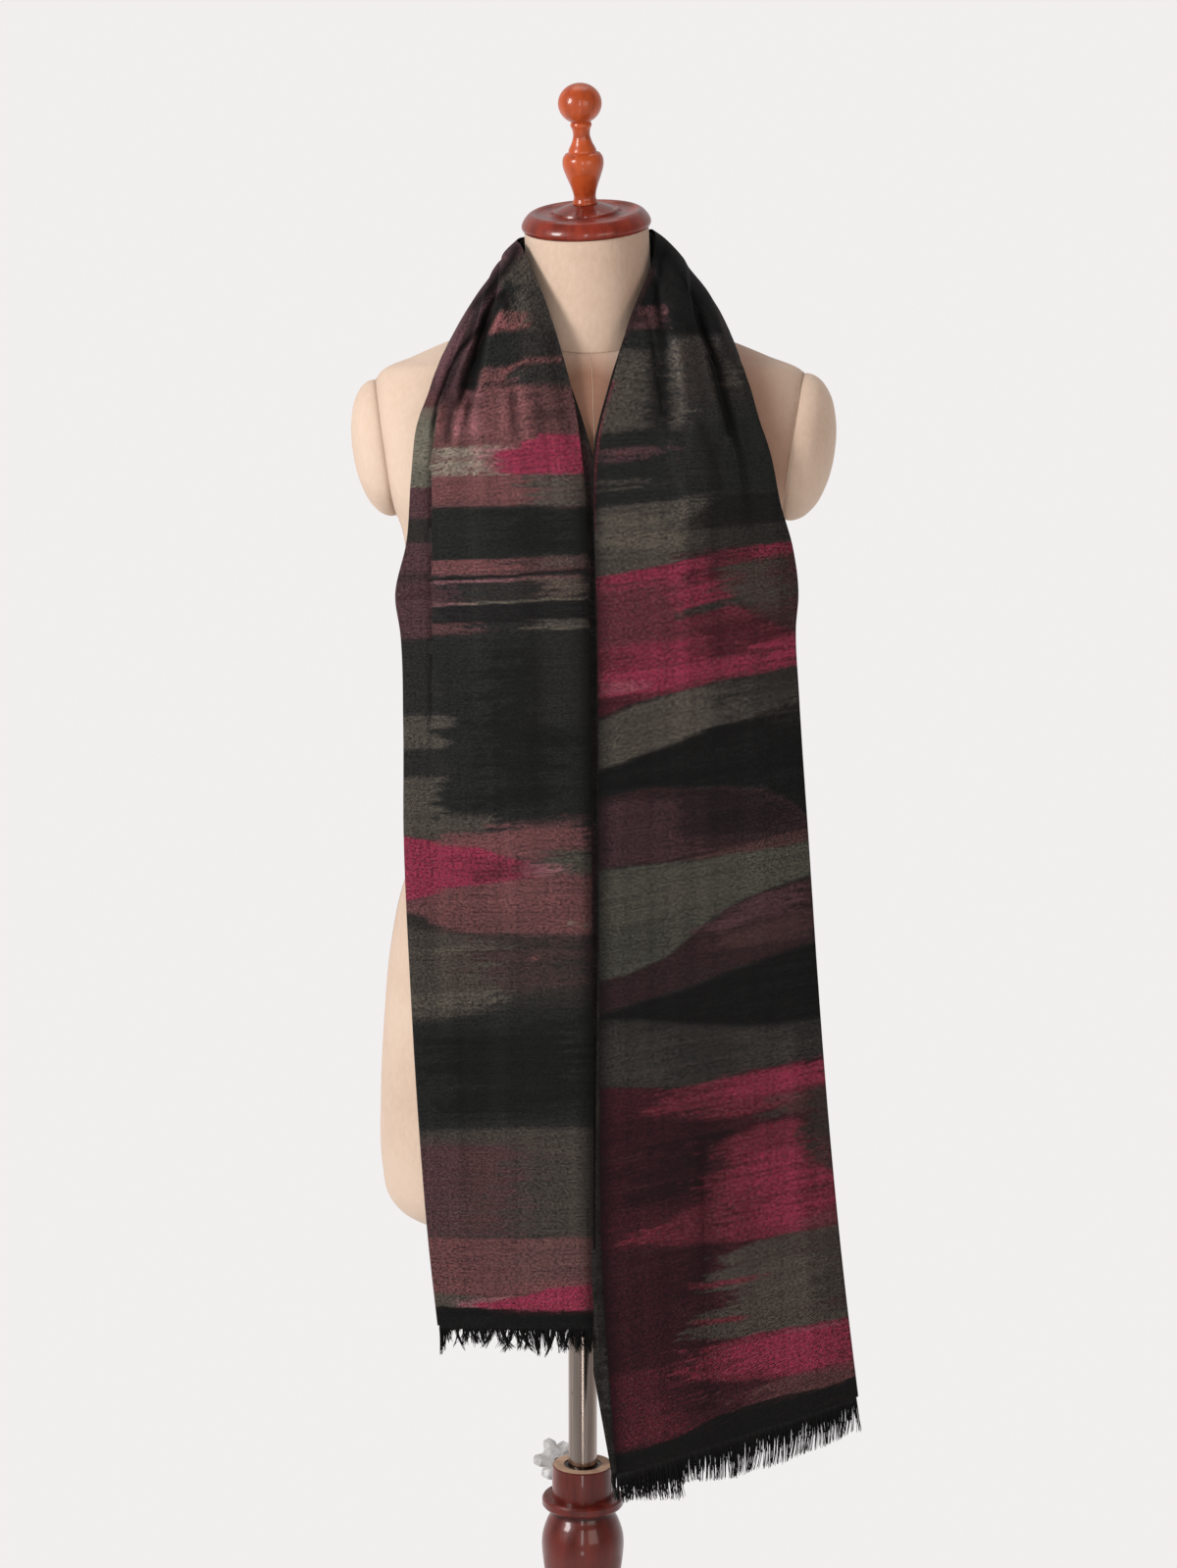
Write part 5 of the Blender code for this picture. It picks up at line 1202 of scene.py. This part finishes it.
def shade_torso(torso, seams):
    """How near each point lies to a seam, and the warm shade by the shawl's edges."""
    points = np.array([v.co for v in torso.data.vertices]) / MM
    x, y, z = points.T
    foot = np.where(z > 1405, 0.8 * bell((1414.0 - z + 0.38 * y) / 5.0), 0)
    near = [np.min(np.linalg.norm(points[:, None] - line[None, ::2], axis=2), axis=1) for line in seams]
    add_values(torso, "seam", np.maximum(foot, bell(np.min(near, axis=0) / 5.0)))
    edges = np.array([row[1:7] for row in STATIONS if row[0].startswith("right") and row[3] > 1230], float)
    outward = x - np.interp(z, edges[::-1, 5], edges[::-1, 3])
    beside = 0.85 * bell(np.maximum(outward, 0) / 34.0) * soft_step((z - 1240) / 60)
    between = (0.2 + soft_step((1412 - z) / 50)) * (z < 1420) * bell((x - 4) / 48.0)
    add_values(torso, "shade", np.where(y < 30, np.maximum(np.where(x > 60, beside, 0), between), 0))


def make_neck(cover):
    """The neck up to the leaning cap, and the line of the seam round its foot."""
    count, step = 128, 3.0
    neck = fine_rings(NECK_RINGS, count, step, 0.1)
    tilt = CAP_LEAN_SIDE * (neck[..., 0] - CAP_CENTRE.x)
    neck[:-1, :, 2] += (np.linspace(0, 1, len(neck)) ** 2)[:-1, None] * tilt[:-1]
    neck[-1, :, 2] = CAP_CENTRE.z - GAP + CAP_LEAN_FRONT * neck[-1, :, 1] + tilt[-1]
    obj = add_loft("form_neck_cover", neck, cover, "form", "form_cover", ["form_neck"], sharp=60)
    level = np.repeat(np.arange(len(neck)), count) * step
    add_values(obj, "seam", 0.8 * bell(level / 4.0))
    add_values(obj, "shade", 0.30 * soft_step((neck[..., 0].ravel() - 12) / 42) + 0.20 * bell(level / 16))
    outward_faces(obj)
    foot = neck[0] - (0, 0, GAP * 0.5)
    return np.concatenate([foot, foot[:1]])


def make_form():
    cover = cover_material()
    torso, body, holes = make_torso(cover)
    lines = torso_seams(body)
    shade_torso(torso, lines + holes)
    seams = holes + lines + [make_neck(cover)]
    points, faces = joined(tube(line, SEAM_RADIUS, 6) for line in seams)
    obj = add_piece(new_mesh("form_seams", points, faces), stitch_material(), "form", "form_cover")
    add_values(obj, "run", np.concatenate([np.repeat(run_of(line), 6) for line in seams]))


# ================================================================ the shawl
class Cloth:
    """The folded cloth's surface, by length along it and place across it."""

    def __init__(self):
        self.edges = np.array([row[1:9] for row in STATIONS], float)
        self.lengths = run_of((self.edges[:, 0:3] + self.edges[:, 3:6]) / 2)
        self.at = dict(zip((row[0] for row in STATIONS), self.lengths))
        self.fold_at = [self.at[row[0]] for row in FOLD_LINES]
        folds = np.array([row[1:] for row in FOLD_LINES], float)
        self.fold_place, self.fold_height = folds[:, 0], folds[:, 1]

    def base(self, length, across):
        """Points at lengths (n) and places (n, m)."""
        row = curve_at(self.lengths, self.edges[:, :7], length)
        inner, outer, crown = row[:, 0:3], row[:, 3:6], row[:, 6]
        along = curve_at(self.lengths, self.edges[:, :6], length + 1.0) - row[:, :6]
        run = unit(outer - inner)
        inner = inner + run * CLOTH / 2
        outer = outer - run * (LAYERS + CLOTH) / 2
        normal = unit(np.cross(along[:, 0:3] + along[:, 3:6], run))
        a = across[:, :, None]
        lift = (crown[:, None] * 4 * across * (1 - across))[:, :, None]
        return inner[:, None] + (outer - inner)[:, None] * a + normal[:, None] * lift

    def grid(self, length):
        """Points, normals and heights at each length, finely spaced across the cloth."""
        lines = len(self.fold_place[0])
        place = curve_at(self.fold_at, self.fold_place, length)
        kernel = bell(np.linspace(-2, 2, 21))
        height = [smoothed(np.interp(length, self.fold_at, line), kernel) for line in self.fold_height.T]
        places, heights = [], []
        for k in range(lines - 1):
            before, here, there, after = (height[min(max(k + i, 0), lines - 1)] for i in (-1, 0, 1, 2))
            for t in np.arange(FOLD_STEPS) / FOLD_STEPS:
                places.append(place[:, k] * (1 - t) + place[:, k + 1] * t)
                heights.append(cubic(t, here, there, (there - before) / 2, (after - here) / 2))
        places, heights = np.stack(places + [place[:, -1]], axis=1), np.stack(heights + [height[-1]], axis=1)
        along = self.base(length + 1.0, places) - self.base(length - 1.0, places)
        run = self.base(length, places + 0.01) - self.base(length, places - 0.01)
        normals = unit(np.cross(along, run))
        return self.base(length, places) + normals * heights[:, :, None], normals, heights


def paint(x, y, bands, side):
    """Lay the bands of a table over each other, with feathered ends along the weft."""
    level = y + np.interp(y, *np.array(WEFT_RISE[side]).T) * (x - 610)
    seed = 11 if side == "left" else 12
    streak = 0.62 * drift(x, level, 120, 2.2, seed) + 0.38 * drift(x, level, 60, 7.0, seed + 20)
    dots = drift(x, level, 5, 2.2, seed + 60)
    wander = 1.1 * drift(x, level, 46, 400, seed + 40) + 0.5 * drift(x, level, 11, 300, seed + 50)
    colour = np.broadcast_to(to_linear(COLOURS["charcoal"]), (*x.shape, 3)).copy()
    for name, strength, feather, soft, *places in bands:
        across, tops, bottoms = np.array(places, float).reshape(-1, 3).T
        top = np.interp(x, across, tops) + wander
        bottom = np.interp(x, across, bottoms) + wander * 0.9
        thin = bottoms[0] - tops[0] < 4
        edge = max(soft, 1.6 if thin else 2.0)
        ragged = 0.5 + (0.30 * streak + 0.22 * dots) * (0.35 if thin else 1.0)
        cover = soft_step((y - top) / edge + ragged) * soft_step((bottom - y) / edge + ragged)
        if feather:
            feather = 3.0 + 1.25 * feather
            reach = feather * (1.5 * streak + 0.9 * dots)
            for inside in (x - across[0] + reach, across[-1] + reach - x):
                cover = cover * soft_step(inside / (1.3 * feather) + 0.5)
        cover = np.clip(cover * strength * (1.0 + 0.26 * streak + 0.16 * dots), 0, 1)[..., None]
        colour = colour * (1 - cover) + to_linear(COLOURS[name]) * cover
    for name, strength, half, *path in STROKES[side]:
        gap = from_path(x, y, path)[0]
        cover = (strength * soft_step(1.4 - gap / max(half, 2.4)) * (1.0 + 0.25 * dots))[..., None]
        colour = colour * (1 - cover) + to_linear(COLOURS[name]) * cover
    return colour


def weft_colours(cloth, length, points):
    """The painted weft for each point of the front layer."""
    x, y = to_frame(points)
    colours = np.zeros((*x.shape, 3))
    left = length <= cloth.at["nape"]
    for side, mine, bands in (("left", left, LEFT_BANDS), ("right", ~left, RIGHT_BANDS)):
        # Behind the neck, where nothing shows, the chart runs on along the cloth.
        limit = cloth.at[side + " side"]
        beyond = ((length - limit) * (1 if side == "left" else -1))[:, None]
        row = int(np.argmin(np.abs(length - limit)))
        px = np.where(beyond > 0, x[row], x)[mine]
        py = np.where(beyond > 0, y[row] - 1.25 * beyond, y)[mine]
        part = paint(px, py, bands, side)
        if side == "left":
            edge = np.interp(py, *LEFT_STRIP_EDGE)
            loose = soft_step((py - 660) / 60)
            ragged = 14 * drift(px, py, 90, 5, 71) + 5 * drift(px, py, 8, 2.2, 72)
            share = soft_step((edge + loose * (10 + ragged) - px) / (3.0 + 12 * loose) + 0.5)
            share *= soft_step((py - 395) / 40) * (1 - 0.75 * soft_step((py - 930) / 120))
            part += (paint(px, py, LEFT_STRIP, side) - part) * share[..., None]
        colours[mine] = part
    # The chart gives what shows, black warp and all; the weft alone is brighter.
    return np.clip(colours * WEFT_GAIN - 0.004, 0.0, 1.0)


def crease_heights(x, y):
    """How far the creases lift or sink the front layer, in millimetres."""
    lift = np.zeros(x.shape)
    for side, rows in CREASES.items():
        for kind, half, height, *path in rows:
            gap, way, along = from_path(x, y, path)
            gap = gap * PIXEL
            shape = bell(gap / half)
            if kind == "step":
                # Higher on the inner side, with a narrow shadow line below it.
                inner = way if side == "left" else -way
                shape = np.where(inner > 0, -0.55 * np.exp(-gap / (2.2 * half)), shape)
            fade = soft_step(along / 0.16) * soft_step((1 - along) / 0.16)
            lift += np.where((x < MIDDLE) == (side == "left"), fade * shape * height, 0.0)
    return lift


def fold_tones(x, y, visible):
    """Light on the ridges of the narrow folds, and shade in them, that show on the shoulders."""
    tone = np.ones(x.shape)
    for side, rows in FOLD_TONES.items():
        for factor, half, *path in rows:
            gap, _, along = from_path(x, y, path)
            fade = soft_step(along / 0.10 + 0.15) * soft_step((1 - along) / 0.16)
            fade = fade * visible * ((x < MIDDLE) == (side == "left"))
            tone *= 1 + (factor - 1) * fade * bell(gap / half)
    return tone


def make_shawl():
    cloth = Cloth()
    total = cloth.lengths[-1]
    rows = int(round(total / ROW_STEP))
    length = np.linspace(0, total, rows + 1)
    flat, normals, folds = cloth.grid(length)
    x, y = to_frame(flat)
    lift = crease_heights(x, y) * soft_step((5 - flat[..., 1]) / 25)
    # The free inner edges roll back a little below the chest.
    hang = soft_step((y - 440) / 90)
    inward = np.linalg.norm((flat - flat[:, :1])[..., :2], axis=-1)
    lift -= 1.8 * hang * bell(inward / 4.5)
    # Painted light and shade in the weft's colours: the ridges of the creases and folds are painted lighter,
    # their bottoms darker.
    tone = np.clip(1.0 + 0.26 * lift, 0.45, 1.4) * np.clip(1.0 + 0.075 * folds, 0.55, 1.18)
    # Painted shade: the weft darkens towards the free inner edges below the chest, beside the gap between the
    # tails.
    tone *= 1.0 - 0.55 * hang * np.exp(-((inward / 9.0) ** 1.6))
    tone *= fold_tones(x, y, soft_step((40 - flat[..., 1]) / 25))
    across = np.zeros(x.shape)
    across[:, 1:] = np.cumsum(np.linalg.norm(np.diff(flat, axis=1), axis=2), axis=1)
    for height, size_x, size_y, seed in ((0.30, 17, 130, 3), (0.16, 8, 60, 4), (0.10, 30, 9, 5)):
        lift += height * drift(across, length[:, None] + 0 * across, size_x, size_y, seed)
    points = flat + normals * lift[..., None]
    weft = weft_colours(cloth, length, points) * tone[..., None]

    # Around the wall: front layer, the round fold, then the back layer's coarser columns.
    outer = (LAYERS + CLOTH) / 2
    run = points[:, -1] - points[:, -2]
    run = unit(run - normals[:, -1] * (run * normals[:, -1]).sum(axis=1, keepdims=True))
    start = unit(points[:, 0] - points[:, 1])
    reach = np.interp(length, cloth.lengths, cloth.edges[:, 7])[:, None]
    front = list(range(x.shape[1]))
    back = thinned(front[::-1], BACK_EVERY)
    skins = []
    for radius in (outer, outer - THIN):
        columns = [points[:, k] + normals[:, k] * radius for k in front]
        for angle in np.arange(1, TURN_STEPS) / TURN_STEPS * math.pi:
            way = normals[:, -1] * math.cos(angle) + run * math.sin(angle)
            columns.append(points[:, -1] + way * radius)
        columns += [flat[:, k] - normals[:, k] * radius for k in back]
        columns[-1] = columns[-1] + start * reach
        skins.append(np.stack(columns, axis=1))
    colours = weft[:, front + front[-1:] * (TURN_STEPS - 1) + back]
    # Beyond the front layer's inner edge the back layer shows between the tails: its edge, and low down the
    # column beside it, are painted dark grey as painted shade in that gap.
    gap_shade = to_linear(COLOURS["dark grey"])
    colours[:, -1] = gap_shade * (1.0 + 0.3 * drift(length, length * 0, 6, 10, 21))[:, None]
    low = length > cloth.at["right hip"] - 60
    colours[low, -2] = colours[low, -2] * 0.5 + gap_shade * 0.5

    skin = skins[0]
    shading = unit(np.cross(np.gradient(skin, axis=0), np.gradient(skin, axis=1)))
    spread = np.zeros(skin.shape[:2])
    spread[:, 1:] = np.cumsum(np.linalg.norm(np.diff(skin, axis=1), axis=2), axis=1)
    rise = np.interp(to_frame(skin[:, 30])[1], *np.array(WEFT_RISE["right"]).T)
    rise *= length > cloth.at["right shoulder"]
    along = length[:, None] + rise[:, None] * (spread - 100)

    material = cloth_material()
    pieces = {}
    for name, first, last, node in (
        ("shawl_left", "left hem", "left side", "shawl_left_tail"),
        ("shawl_nape", "left side", "right side", "shawl_neck"),
        ("shawl_right", "right side", "right hem", "shawl_right_tail"),
    ):
        a, b = (int(round(cloth.at[place] / total * rows)) for place in (first, last))
        wall = (each[a:b + 1] for each in (*skins, colours, shading, np.stack([spread, along], axis=2)))
        pieces[name] = shawl_piece(name, *wall, material, node)
    return cloth, pieces, material, (length, points, flat, normals)


def thinned(places, every):
    """Every so many of some places, and the last."""
    kept = places[::every]
    return kept if kept[-1] == places[-1] else kept + [places[-1]]


def add_weft(mesh, colours, places):
    """Give a cloth mesh its weft's colours, and its places on the weave."""
    attribute = mesh.color_attributes.new("weft", "FLOAT_COLOR", "POINT")
    opaque = np.column_stack([colours, np.ones(len(colours))])
    attribute.data.foreach_set("color", opaque.astype(np.float32).ravel())
    corner = np.zeros(len(mesh.loops), np.int32)
    mesh.loops.foreach_get("vertex_index", corner)
    layer = mesh.uv_layers.new(name="cloth")
    layer.data.foreach_set("uv", places[corner].astype(np.float32).ravel())


def shawl_piece(name, out, inn, colours, shading, places, material, node):
    """A closed thin wall with fine columns outside and coarse ones inside."""
    rows, columns = out.shape[:2]
    keep = thinned(list(range(columns)), INSIDE_EVERY)
    wide, first = len(keep), rows * columns

    def both(outside, inside):
        size = outside.shape[-1]
        return np.concatenate([outside.reshape(-1, size), inside[:, keep].reshape(-1, size)])

    faces = []
    for r in range(rows - 1):
        o, p = r * columns, (r + 1) * columns
        i, j = first + r * wide, first + (r + 1) * wide
        faces += [(p + c, p + c + 1, o + c + 1, o + c) for c in range(columns - 1)]
        faces += [(i + c + 1, j + c + 1, j + c, i + c) for c in range(wide - 1)]
        faces += [(i, j, p, o), (p + columns - 1, j + wide - 1, i + wide - 1, o + columns - 1)]
    for r in (0, rows - 1):
        o, i = r * columns, first + r * wide
        for c in range(wide - 1):
            loop = [i + c + 1, i + c, *range(o + keep[c], o + keep[c + 1] + 1)]
            faces.append(tuple(loop if r == 0 else loop[::-1]))
    obj = add_piece(new_mesh(name, both(out, inn), faces), material, "form", "shawl_cloth", [node])
    add_weft(obj.data, both(colours, colours), both(places, places))
    obj.data.normals_split_custom_set_from_vertices([tuple(v) for v in both(shading, -shading)])
    return obj


def make_under_layer(cloth, grid, material):
    """The inner fold's low corner, hanging behind the right tail, and its hem."""
    length, _, flat, normals = grid
    left, right, top, hem = UNDER_LAYER
    tail = length > cloth.at["right thigh"]
    surface, facing = flat[tail].reshape(-1, 3), normals[tail].reshape(-1, 3)
    columns = 30
    fronts = []
    for height in np.linspace(top, hem, 120):
        edge = left - np.interp(height, (hem, 560, top), (-4, 11, 12.5))
        for x in np.linspace(edge, right, columns):
            k = int(np.argmin((surface[:, 0] - x) ** 2 + (surface[:, 2] - height) ** 2))
            fronts.append((x, surface[k, 1] - facing[k, 1] * ((LAYERS + CLOTH) / 2 + GAP), height))
    fronts = np.array(fronts).reshape(-1, columns, 3)
    # Where the tail's own hem is higher, the layer keeps its last depth.
    for c in range(columns):
        fronts[:, c, 1] = smoothed(fronts[:, c, 1], np.ones(7))
    fronts[..., 1] += 0.35 + 0.25 * drift(fronts[..., 0], fronts[..., 2], 14, 60, 8)
    backs = fronts + np.array((0, THIN, 0))
    rings = np.concatenate([fronts, backs[:, ::-1]], axis=1)
    node = "shawl_right_under_layer"
    obj = add_loft("shawl_under", rings, material, "form", "shawl_cloth", [node], sharp=50)
    x, _, z = rings.reshape(-1, 3).T
    tone = to_linear(COLOURS["dark grey"]) * (1.4 + 0.9 * drift(x, z, 5, 3, 9))[:, None]
    tone = np.clip(np.where((z < hem + 17)[:, None], to_linear(COLOURS["black"]), tone), 0, 1)
    add_weft(obj.data, tone, np.stack([x, z], axis=1))
    outward_faces(obj)
    return obj, (fronts[-1] + backs[-1]) / 2


# ================================================================ the fringe
def thread_path(root, length, lean, curl, sway, steps=7):
    t = np.linspace(0, 1, steps)[:, None]
    x = lean * t + curl * t**2
    y = sway * np.sin(t * 2.6)
    drop = 1.0 - 0.18 * (lean + curl) ** 2 * t
    return root + length * np.concatenate([x, y, -t * drop], axis=1)


def fringe_piece(name, node, threads, strip, material):
    """Thin tapered threads and the dense edge that they grow from, in one piece."""
    parts = [tube(path, size * np.linspace(1.0, 0.45, len(path)), 3) for path, size in threads]
    mesh = new_mesh("fringe_threads_" + name, *joined(parts + [strip]))
    return add_piece(mesh, material, "form", "fringe_wool", [node])


def edge_strip(line, depth, thick):
    """A narrow band along a hem, uneven below, that the threads hang from."""
    run = run_of(line)
    deep = depth * (1 + 0.35 * drift(run, run * 0, 1.6, 1, 31))
    low = line - np.stack([0 * run, 0 * run, deep], axis=1)
    front = np.array((0, -thick / 2, 0))
    rings = np.stack([line + front, low + front * 0.6, low - front * 0.6, line - front], axis=1)
    return rings.reshape(-1, 3), loft_faces(len(line), 4)


def make_fringes(grid, under_hem, material):
    _, points, flat, normals = grid
    shuffle = np.random.default_rng(5)
    drop = np.array((0, 0, 0.3))
    made = {}

    def hem(row, offset):
        return (points if offset > 0 else flat)[row] + normals[row] * offset

    def root_at(line, place):
        return line[int(place * (len(line) - 1))]

    # The left tail: tangled clumps, some crossing, on a short even stubble.
    wide = LEFT_HEM_WIDTH
    for layer, offset in (("front", 1.5), ("back", -1.5)):
        line = hem(0, offset)[::-1]
        fine = spaced(line - drop, 400)
        threads = []
        for place, count, long, lean, spread in LEFT_CLUMPS:
            if layer == "back":
                place, count = min(place + 0.02, 0.995), int(count * 0.7)
                lean, long = -lean * 0.6, long * 0.92
            tip = shuffle.normal(0, 0.6)
            for _ in range(int(count * 1.7)):
                at = place + shuffle.normal(0, 0.010) + shuffle.uniform(-.5, .5) * spread / wide
                at = np.clip(at, 0.002, 0.998)
                gather = (place - at) * wide * 0.75 / long
                size = long * shuffle.uniform(0.72, 1.0)
                curl = lean + shuffle.normal(0, 0.5) * spread / long + tip / long
                sway = shuffle.normal(0, 0.05)
                path = thread_path(root_at(fine, at), size, lean * 0.3 + gather, curl, sway)
                threads.append((path, shuffle.uniform(*THREAD_RADII)))
        for at in np.linspace(0.005, 0.995, 120):
            size, lean, curl = shuffle.uniform(2, 6), shuffle.normal(0, .22), shuffle.normal(0, .3)
            path = thread_path(root_at(fine, at), size, lean, curl, shuffle.normal(0, .06), 5)
            threads.append((path, shuffle.uniform(0.28, 0.38)))
        strip = edge_strip(spaced(line, 160), 3.6, 1.0)
        name = f"left_{layer}"
        made[name] = fringe_piece(name, "fringe_" + name, threads, strip, material)

    # The right tail: even parallel threads that bend together, longer on the left.
    for layer, offset, count, strands in (("front", 1.5, 560, 84), ("back", -1.5, 440, 67)):
        line = hem(-1, offset)
        fine = spaced(line - drop, 1000)
        threads = []
        for k in range(count):
            at = (k + 0.5 + shuffle.uniform(-0.35, 0.35)) / count
            # Threads gather in strands towards their ends.
            strand = math.floor(at * strands)
            gather = ((strand + 0.5 + 0.22 * math.sin(strand * 7.3)) / strands - at) * RIGHT_HEM_WIDTH * 0.8
            wave = 0.05 * math.sin(at * 31) + 0.04 * math.sin(at * 83)
            if layer == "front":
                long = np.interp(at, *RIGHT_LENGTHS) * shuffle.uniform(0.90, 1.0)
                lean = 0.05 + 0.12 * at + 0.5 * wave
                curl = np.interp(at, *RIGHT_CURLS) + 0.5 * wave
            else:
                long = np.interp(at, (0, .35, 1), (22, 24, 22)) * shuffle.uniform(0.8, 1.0)
                lean, curl = 0.02 + wave, -0.05 + 0.1 * at - wave
            if at > 0.985:
                curl += 0.10
            lean += shuffle.normal(0, 0.012)
            curl += gather / long + shuffle.normal(0, 0.015)
            root = root_at(fine, np.clip(at, 0, 0.999))
            path = thread_path(root, long, lean, curl, shuffle.normal(0, 0.02))
            threads.append((path, shuffle.uniform(*THREAD_RADII)))
        strip = edge_strip(spaced(line, 220), 7.0, 1.0)
        name = f"right_{layer}"
        made[name] = fringe_piece(name, "fringe_" + name, threads, strip, material)

    fine = spaced(under_hem - drop, 400)
    threads = []
    for k in range(180):
        root = root_at(fine, (k + shuffle.uniform(0.2, 0.8)) / 180)
        long, lean, curl = shuffle.uniform(19, 24), 0.04 + shuffle.normal(0, 0.05), shuffle.normal(0.03, 0.08)
        path = thread_path(root, long, lean, curl, shuffle.normal(0, 0.03))
        threads.append((path, shuffle.uniform(*THREAD_RADII)))
    strip = edge_strip(spaced(under_hem, 80), 2.6, 0.8)
    made["under"] = fringe_piece("under", "fringe_right_under", threads, strip, material)
    return made


# ================================================================ putting it together
make_studio()
make_hard_parts()
make_form()
cloth, pieces, woven, grid = make_shawl()
under, under_hem = make_under_layer(cloth, grid, woven)
threads = make_fringes(grid, under_hem, thread_material())

bpy.context.view_layer.update()
